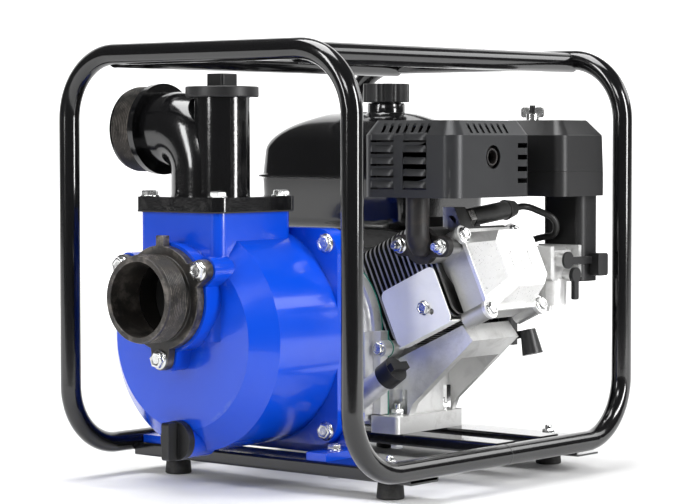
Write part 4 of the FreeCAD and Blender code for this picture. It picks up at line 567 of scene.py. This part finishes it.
COVER_FACE = 0.237
RIB_HALF_WIDTH = 0.0032
for index, (rib_y, rib_half) in enumerate(((0.0635, 0.0105), (0.079, 0.0125), (0.0945, 0.0105))):
    rib = bmesh.new()
    rings = []
    for rise, inset in ((-0.0006, 0.0), (0.0006, 0.0), (0.0011, 0.0005), (0.00125, 0.0013)):
        row = []
        for step in range(32):
            angle = 2 * math.pi * step / 32
            bulge = RIB_HALF_WIDTH - inset
            lift = math.copysign(rib_half - RIB_HALF_WIDTH, math.sin(angle)) + bulge * math.sin(angle)
            spot = crank_middle + bore_axis * (COVER_FACE + rise) + cross_axis * (lift - 0.026)
            row.append(rib.verts.new(spot + Vector((0, rib_y + bulge * math.cos(angle), 0))))
        rings.append(row)
    for low_row, high_row in zip(rings, rings[1:]):
        for step in range(32):
            following = (step + 1) % 32
            rib.faces.new((low_row[step], low_row[following], high_row[following], high_row[step]))
    rib.faces.new(rings[-1])
    bmesh.ops.recalc_face_normals(rib, faces=rib.faces)
    rib_mesh = bpy.data.meshes.new("rocker_rib_%d" % index)
    rib.to_mesh(rib_mesh)
    settle(piece_from("rocker_rib_%d" % index, rib_mesh, 60), rocker_metal, "rocker_cover", False)

# ---- exhaust pipe, muffler and guard ---------------------------------------------------------
# The pipe and muffler are mild steel in a flat heat-proof black. The guard is a pressed sheet
# cover in satin dark grey, with punched slots and ten louvres pushed out of its front.
flat_black = Finish("heat_proof_black", Specular_IOR_Level=0.35)
scale_tone = flat_black.ramp(flat_black.noise(34, 8, 0.7, 0.6), 0.5, 0.75)
flat_black.feed("Base Color", flat_black.mix(scale_tone * 0.6, rgba(0.013, 0.012, 0.012),
                                             rgba(0.055, 0.038, 0.03)))
flat_black.feed("Roughness", scale_tone * 0.15 + 0.45)
flat_black.bump((flat_black.noise(240, 6, 0.7), 0.0002))
settle(eased("exhaust_pipe", 0.0012, 3), flat_black, "exhaust_pipe")
settle(eased("muffler", 0.001), flat_black, "muffler")

guard_grey = Finish("guard_paint", Metallic=0.35, Specular_IOR_Level=0.5)
heat_fade = guard_grey.noise(15, 5, 0.6, 0.6)
rub = guard_grey.worn_edges(0.54, 0.64) * 0.5 + guard_grey.dust(0.08)
guard_grey.feed("Base Color", guard_grey.mix(rub, guard_grey.mix(heat_fade, rgba(0.017, 0.0175, 0.019),
                                                                 rgba(0.032, 0.033, 0.035)),
                                             rgba(0.2, 0.2, 0.2)))
guard_grey.feed("Roughness", guard_grey.noise(240, 5, 0.7) * 0.14 + 0.3)
guard_grey.bump((guard_grey.noise(480, 3), 0.00005))
settle(eased("muffler_guard", 0.001), guard_grey, "muffler_guard")

guard_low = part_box("muffler_guard")[0]
LOUVRE_LENGTH = 0.030
LOUVRE_HEIGHT = 0.0075
LOUVRE_DEPTH = 0.003
louvre = bmesh.new()
for row_index in range(5):
    for column in range(2):
        left = guard_low.x + 0.014 + column * 0.042
        top = guard_low.z + 0.011 + row_index * 0.012 + LOUVRE_HEIGHT - 0.001
        grid = []
        for down in range(9):
            line = []
            for across in range(21):
                fall = down / 8
                travel = across / 20
                ends = max(0.0, 1 - abs(2 * travel - 1) ** 5)
                out = LOUVRE_DEPTH * math.sin(fall * math.pi / 2) ** 0.8 * ends ** 0.6
                line.append(louvre.verts.new((left + travel * LOUVRE_LENGTH, guard_low.y + 0.0004 - out,
                                              top - fall * LOUVRE_HEIGHT)))
            grid.append(line)
        lip = [louvre.verts.new(v.co + Vector((0, 0.0012, 0.0004))) for v in grid[-1]]
        grid.append(lip)
        for upper, lower in zip(grid, grid[1:]):
            for first, second, third, fourth in zip(upper, upper[1:], lower[1:], lower):
                louvre.faces.new((first, second, third, fourth))
bmesh.ops.recalc_face_normals(louvre, faces=louvre.faces)
louvre_mesh = bpy.data.meshes.new("guard_louvres")
louvre.to_mesh(louvre_mesh)
settle(piece_from("guard_louvres", louvre_mesh, 50), guard_grey, "muffler_guard", False)

# ---- carburettor and its levers --------------------------------------------------------------
# Zinc die casting with a turned float bowl below. The choke and fuel tap levers are nylon.
carb_metal = cast_aluminium("carburettor_casting", 0.78, 0.36)
settle(eased("carburettor", 0.0014, 3), carb_metal, "carburettor")
for node in ("choke_lever", "fuel_tap_lever", "throttle_lever", "engine_switch", "starter_handle"):
    settle(eased(node, 0.0012, 3), moulded_black, node)

# ---- air cleaner -----------------------------------------------------------------------------
# Blow-moulded black housing: a pan with its elbow, a foam element, and a bevelled lid held down
# by one wing nut.
lid_plastic = Finish("lid_moulding", Specular_IOR_Level=0.4)
lid_grain = lid_plastic.noise(620, 4, 0.7)
lid_cloud = lid_plastic.noise(12, 6, 0.6, 0.4)
lid_wear = lid_plastic.worn_edges(0.55, 0.66) * 0.3 + lid_plastic.dust(0.12)
lid_plastic.feed("Base Color", lid_plastic.mix(lid_wear, rgba(0.0095, 0.0095, 0.01),
                                               rgba(0.08, 0.078, 0.075)))
lid_plastic.feed("Roughness", lid_cloud * 0.14 + 0.34)
lid_plastic.bump((lid_cloud, 0.0003), (lid_grain, 0.00009))
for node in ("air_cleaner_base", "air_cleaner_cover"):
    settle(eased(node, 0.0022, 3), lid_plastic, node)
foam = Finish("filter_foam", Roughness=0.9)
foam_cells = foam.node("ShaderNodeTexVoronoi", {}, {"Vector": foam.place, "Scale": 500.0}, "Distance")
foam.feed("Base Color", foam.mix(foam_cells, rgba(0.02, 0.02, 0.02), rgba(0.12, 0.12, 0.115)))
foam.bump((foam_cells, 0.0006))
settle(eased("air_filter", 0.001), foam, "air_filter")

# ---- fuel tank -------------------------------------------------------------------------------
# Two deep steel pressings, the upper one domed, seam-welded round the middle with a turned-out
# lip and sprayed gloss black. The filler neck is let into the top.
tank_black = gloss_black("tank_enamel", 0.0001)
tank_low, tank_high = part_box("fuel_tank")
TANK_REACH = 0.009
TANK_BOTTOM = tank_low.z - 0.0335
TANK_SEAM = 0.312
TANK_SHOULDER = 0.343
tank_middle = Vector(((tank_low.x - TANK_REACH + tank_high.x) / 2, (tank_low.y + tank_high.y) / 2, 0))
tank_half = Vector(((tank_high.x - tank_low.x + TANK_REACH) / 2, (tank_high.y - tank_low.y) / 2, 0))


def tank_row(inset, height, corner):
    """One level of the tank: a rectangle with rounded corners, with extra points along its straight sides;
    the caller crowns it towards its middle.
    """
    row = []
    reach_x, reach_y = tank_half.x - inset, tank_half.y - inset
    corner = min(corner, reach_x * 0.98, reach_y * 0.98)
    for quarter in range(4):
        across = 1 if quarter in (0, 3) else -1
        along = 1 if quarter in (0, 1) else -1
        for step in range(13):
            angle = (quarter + step / 12) * math.pi / 2
            x = across * (reach_x - corner) + corner * math.cos(angle)
            y = along * (reach_y - corner) + corner * math.sin(angle)
            row.append(Vector((x, y, height)))
    filled = []
    for here, following in zip(row, row[1:] + row[:1]):
        filled.append(here)
        pieces = int((following - here).length / 0.012)
        filled += [here.lerp(following, (part + 1) / (pieces + 1)) for part in range(pieces)]
    return filled


def tank_levels():
    """Inset, height and corner radius of each level: rounded bottom, seam lip, domed top."""
    levels = [(0.006 + 0.014 * (1 - math.sin(turn)), TANK_BOTTOM + 0.014 * (1 - math.cos(turn)), 0.022)
              for turn in (0.0, 0.4, 0.8, 1.2, math.pi / 2)]
    levels += [(0.004, TANK_SEAM - 0.003, 0.024), (0.0022, TANK_SEAM - 0.0016, 0.025),
               (0.0, TANK_SEAM - 0.0011, 0.025), (0.0, TANK_SEAM + 0.0011, 0.025),
               (0.0022, TANK_SEAM + 0.0016, 0.025), (0.004, TANK_SEAM + 0.003, 0.024)]
    for step in range(15):
        turn = step / 14 * math.pi / 2
        levels.append((0.0055 + 0.068 * (1 - math.cos(turn)), TANK_SHOULDER + 0.039 * math.sin(turn),
                       0.026 + 0.02 * step / 14))
    return levels


shell = bmesh.new()
outline_count = 220
tank_rows = []
for inset, height, corner in tank_levels():
    loop = tank_row(inset, height, corner)
    lengths = [(b - a).length for a, b in zip(loop, loop[1:] + loop[:1])]
    total = sum(lengths)
    row = []
    index, passed = 0, 0.0
    for step in range(outline_count):
        target = total * step / outline_count
        while passed + lengths[index] < target:
            passed += lengths[index]
            index += 1
        spot = loop[index].lerp(loop[(index + 1) % len(loop)], (target - passed) / lengths[index])
        if height > TANK_SEAM + 0.002:
            side = abs(spot.x) / tank_half.x
            spot.z -= 0.006 * side ** 3 * (height - TANK_SEAM) / 0.05
        row.append(shell.verts.new(spot + tank_middle))
    tank_rows.append(row)
for low_row, high_row in zip(tank_rows, tank_rows[1:]):
    for step in range(outline_count):
        following = (step + 1) % outline_count
        shell.faces.new((low_row[step], low_row[following], high_row[following], high_row[step]))
shell.faces.new(tank_rows[0])
shell.faces.new(tank_rows[-1])
bmesh.ops.recalc_face_normals(shell, faces=shell.faces)
tank_mesh = bpy.data.meshes.new("fuel_tank_shell")
shell.to_mesh(tank_mesh)
settle(piece_from("fuel_tank_shell", tank_mesh, 40), tank_black, "fuel_tank")
cap_low, cap_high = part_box("fuel_cap")
filler_centre = Vector(((cap_low.x + cap_high.x) / 2, (cap_low.y + cap_high.y) / 2, 0))
settle(turned_piece("tank_filler_neck", filler_centre, Vector((0, 0, 1)),
                    [(0.374, 0.024), (0.379, 0.0225), (0.381, 0.0205), (0.3895, 0.0205), (0.391, 0.0195),
                     (0.391, 0.0165), (0.384, 0.016)], 64), tank_black, "fuel_tank", False)

# ---- fan housing and recoil starter ----------------------------------------------------------
# Pressed steel housings in gloss black over the flywheel, with the rope reel behind the vents.
# A plain black sheet stands on the housing and fills the gap below the tank: painted shade, a dark sheet put
# where there is only shade.
fan_black = gloss_black("fan_enamel", 0.0001)
for node in ("fan_housing", "recoil_cover"):
    settle(eased(node, 0.0014, 3), fan_black, node)

# Painted shade: a flat black sheet that darkens the gap between the tank, the fins and the fan housing.
SHADE_SHEET_LEFT, SHADE_SHEET_RIGHT = -0.142, 0.040
SHADE_SHEET_BOTTOM, SHADE_SHEET_TOP = 0.205, 0.262
SHADE_SHEET_Y = 0.1345
shade_sheet = bmesh.new()
shade_sheet_rows = []
for forward, inset in ((0.0, 0.0), (0.0012, 0.0), (0.0012, 0.004), (0.016, 0.004)):
    level = []
    for x, z, sign in ((SHADE_SHEET_LEFT, SHADE_SHEET_BOTTOM, 1), (SHADE_SHEET_RIGHT, SHADE_SHEET_BOTTOM, -1)):
        level.append(shade_sheet.verts.new((x + sign * inset, SHADE_SHEET_Y + forward, z)))
    for x, z, sign in ((SHADE_SHEET_RIGHT, SHADE_SHEET_TOP, -1), (SHADE_SHEET_LEFT, SHADE_SHEET_TOP, 1)):
        level.append(shade_sheet.verts.new((x + sign * inset, SHADE_SHEET_Y + forward, z)))
    shade_sheet_rows.append(level)
for low_row, high_row in zip(shade_sheet_rows, shade_sheet_rows[1:]):
    for step in range(4):
        following = (step + 1) % 4
        shade_sheet.faces.new((low_row[step], low_row[following], high_row[following], high_row[step]))
shade_sheet.faces.new(shade_sheet_rows[0])
shade_sheet.faces.new(shade_sheet_rows[-1])
bmesh.ops.recalc_face_normals(shade_sheet, faces=shade_sheet.faces)
shade_sheet_mesh = bpy.data.meshes.new("fan_gap_shade_sheet")
shade_sheet.to_mesh(shade_sheet_mesh)
settle(piece_from("fan_gap_shade_sheet", shade_sheet_mesh), fan_black, "fan_housing", False)
reel_nylon = Finish("reel_nylon", Roughness=0.5)
reel_tone = reel_nylon.noise(60, 5)
reel_nylon.feed("Base Color", reel_nylon.mix(reel_tone, rgba(0.3, 0.3, 0.28), rgba(0.42, 0.42, 0.4)))
reel_nylon.bump((reel_tone, 0.0001))
settle(eased("recoil_reel", 0.0008), reel_nylon, "recoil_reel")

# ---- spark plug, boot and lead ---------------------------------------------------------------
# Nickel-plated plug under a rubber boot. The lead is PVC-covered and loops back to the coil
# behind the fan housing.
plug_metal = Finish("plug_nickel", Metallic=1.0)
plug_tone = plug_metal.noise(80, 5)
plug_metal.feed("Base Color", plug_metal.mix(plug_tone, rgba(0.55, 0.54, 0.52), rgba(0.8, 0.79, 0.77)))
plug_metal.feed("Roughness", plug_tone * 0.15 + 0.2)
settle(eased("spark_plug", 0.0005), plug_metal, "spark_plug")
boot_rubber = Finish("boot_rubber", Specular_IOR_Level=0.4)
boot_tone = boot_rubber.noise(90, 6, 0.65)
boot_rubber.feed("Base Color", boot_rubber.mix(boot_tone, rgba(0.006, 0.006, 0.006),
                                               rgba(0.025, 0.025, 0.024)))
boot_rubber.feed("Roughness", boot_tone * 0.2 + 0.34)
boot_rubber.bump((boot_tone, 0.0001))
settle(eased("spark_plug_boot", 0.002, 4), boot_rubber, "spark_plug_boot")
settle(eased("spark_plug_lead", 0.0002, 1, 60), boot_rubber, "spark_plug_lead")

# ---- bolts, nuts and studs -------------------------------------------------------------------
# Zinc-plated hexagon flange bolts and nuts, cold formed: a thin round flange under a bevelled
# hexagon, a dished top on each bolt, and rolled threads on the studs.
zinc_plate = Finish("zinc_plate", Metallic=1.0)
zinc_cloud = zinc_plate.noise(140, 6, 0.65, 0.6)
zinc_plate.feed("Base Color", zinc_plate.mix(zinc_cloud, rgba(0.5, 0.51, 0.52), rgba(0.82, 0.82, 0.8)))
zinc_plate.feed("Roughness", zinc_cloud * 0.18 + 0.16)
zinc_plate.bump((zinc_plate.noise(500, 4), 0.00006))


def loose_solids(node):
    """The separate solids of a node, each as a list of points."""
    work = bmesh.new()
    work.from_mesh(frame["nodes"][node].data)
    bmesh.ops.remove_doubles(work, verts=work.verts, dist=2e-6)
    work.verts.ensure_lookup_table()
    seen = set()
    solids = []
    for vert in work.verts:
        if vert.index in seen:
            continue
        stack, points = [vert], []
        seen.add(vert.index)
        while stack:
            here = stack.pop()
            points.append(here.co.copy())
            for edge in here.link_edges:
                other = edge.other_vert(here)
                if other.index not in seen:
                    seen.add(other.index)
                    stack.append(other)
        solids.append(points)
    work.free()
    return solids


def bolt_axis(points):
    """The direction in which a fastener is longest for its width, and a point on its axis."""
    middle = sum(points, Vector()) / len(points)
    best = None
    for axis in (Vector((1, 0, 0)), Vector((0, 1, 0)), Vector((0, 0, 1)), bore_axis):
        spread = [(p - middle).dot(axis) for p in points]
        across = max(((p - middle) - axis * (p - middle).dot(axis)).length for p in points)
        score = (max(spread) - min(spread)) / across
        if best is None or score > best[0]:
            best = (score, axis)
    axis = best[1]
    side = axis.orthogonal().normalized()
    third = axis.cross(side)
    sides = [(p - middle).dot(side) for p in points]
    thirds = [(p - middle).dot(third) for p in points]
    centre = middle + side * (max(sides) + min(sides)) / 2 + third * (max(thirds) + min(thirds)) / 2
    return axis, centre


def ring_of(work, centre, axis, radius, travel, sides, turn=0.0):
    side = axis.orthogonal().normalized()
    third = axis.cross(side)
    row = []
    for step in range(sides):
        angle = turn + 2 * math.pi * step / sides
        out = side * math.cos(angle) + third * math.sin(angle)
        row.append(work.verts.new(centre + axis * travel + out * radius))
    return row


def skin(work, rows, caps=(True, True)):
    count = len(rows[0])
    for low_row, high_row in zip(rows, rows[1:]):
        for step in range(count):
            following = (step + 1) % count
            work.faces.new((low_row[step], low_row[following], high_row[following], high_row[step]))
    if caps[0]:
        work.faces.new(rows[0])
    if caps[1]:
        work.faces.new(rows[-1])


def hexagon_with_flange(work, centre, axis, base, top, corner, turn, dished):
    """Axis points from the clamped part outwards; base and top are distances along it."""
    flange = corner * 1.12
    rows = [ring_of(work, centre, axis, r, base + h, 40)
            for r, h in ((flange - 0.0003, 0.0), (flange, 0.0003), (flange, 0.0008),
                         (flange - 0.0004, 0.0012), (corner * 0.84, 0.0019))]
    skin(work, rows, (True, True))
    height = top - base
    shapes = [(corner * 0.99, 0.0011), (corner * 0.99, height - 0.0011), (corner * 0.93, height - 0.0003),
              (corner * 0.84, height)]
    rows = [ring_of(work, centre, axis, r, base + h, 6, turn) for r, h in shapes]
    skin(work, rows, (False, not dished))
    if dished:
        rim = ring_of(work, centre, axis, corner * 0.7, top, 6, turn)
        bowl = ring_of(work, centre, axis, corner * 0.52, top - 0.0007, 6, turn)
        skin(work, [rows[-1], rim, bowl], (False, True))


def detailed_fasteners(node, shank_of):
    work = bmesh.new()
    for points in loose_solids(node):
        axis, centre = bolt_axis(points)
        travels = [(p - centre).dot(axis) for p in points]
        outs = [((p - centre) - axis * t).length for p, t in zip(points, travels)]
        shank = shank_of(max(outs))
        heads = sorted(t for t, out in zip(travels, outs) if out > shank * 1.25)
        groups = [[heads[0]]]
        for travel in heads[1:]:
            if travel - groups[-1][-1] > 0.0075:
                groups.append([])
            groups[-1].append(travel)
        corner = max(outs)
        far = max(range(len(points)), key=lambda i: outs[i])
        side = axis.orthogonal().normalized()
        third = axis.cross(side)
        spoke = points[far] - centre
        for group in groups:
            low, high = group[0], group[-1]
            outward = axis if (low - min(travels)) > (max(travels) - high) else -axis
            sign = 1 if outward == axis else -1
            base, top = (low, high) if sign > 0 else (-high, -low)
            out_side = outward.orthogonal().normalized()
            out_third = outward.cross(out_side)
            turn = math.atan2(spoke.dot(out_third), spoke.dot(out_side))
            beyond = (max(travels) - high) if sign > 0 else (low - min(travels))
            hexagon_with_flange(work, centre, outward, base, top, corner, turn, beyond < 0.001)
            if beyond >= 0.001:
                profile = []
                travel = top - 0.001
                while travel < top + beyond - 0.0014:
                    profile += [(shank * 0.86, travel), (shank * 0.995, travel + 0.0005)]
                    travel += 0.001
                profile += [(shank * 0.9, top + beyond - 0.0006), (shank * 0.7, top + beyond)]
                skin(work, [ring_of(work, centre, outward, r, t, 28) for r, t in profile], (False, True))
        ends = [ring_of(work, centre, axis, shank * 0.99, t, 24)
                for t in (min(travels) + 0.0004, max(travels) - 0.0016)]
        skin(work, ends)
    bmesh.ops.recalc_face_normals(work, faces=work.faces)
    mesh = bpy.data.meshes.new(node + "_zinc")
    work.to_mesh(mesh)
    work.free()
    return piece_from(node + "_zinc", mesh, 28)


def metric_shank(corner):
    return 0.004 if corner > 0.0065 else 0.003


for node in ("base_bolts", "pump_bolts", "engine_cover_bolts", "exhaust_nuts"):
    settle(detailed_fasteners(node, metric_shank), zinc_plate, node)
settle(eased("air_cleaner_wing_nut", 0.0007, 3), zinc_plate, "air_cleaner_wing_nut")
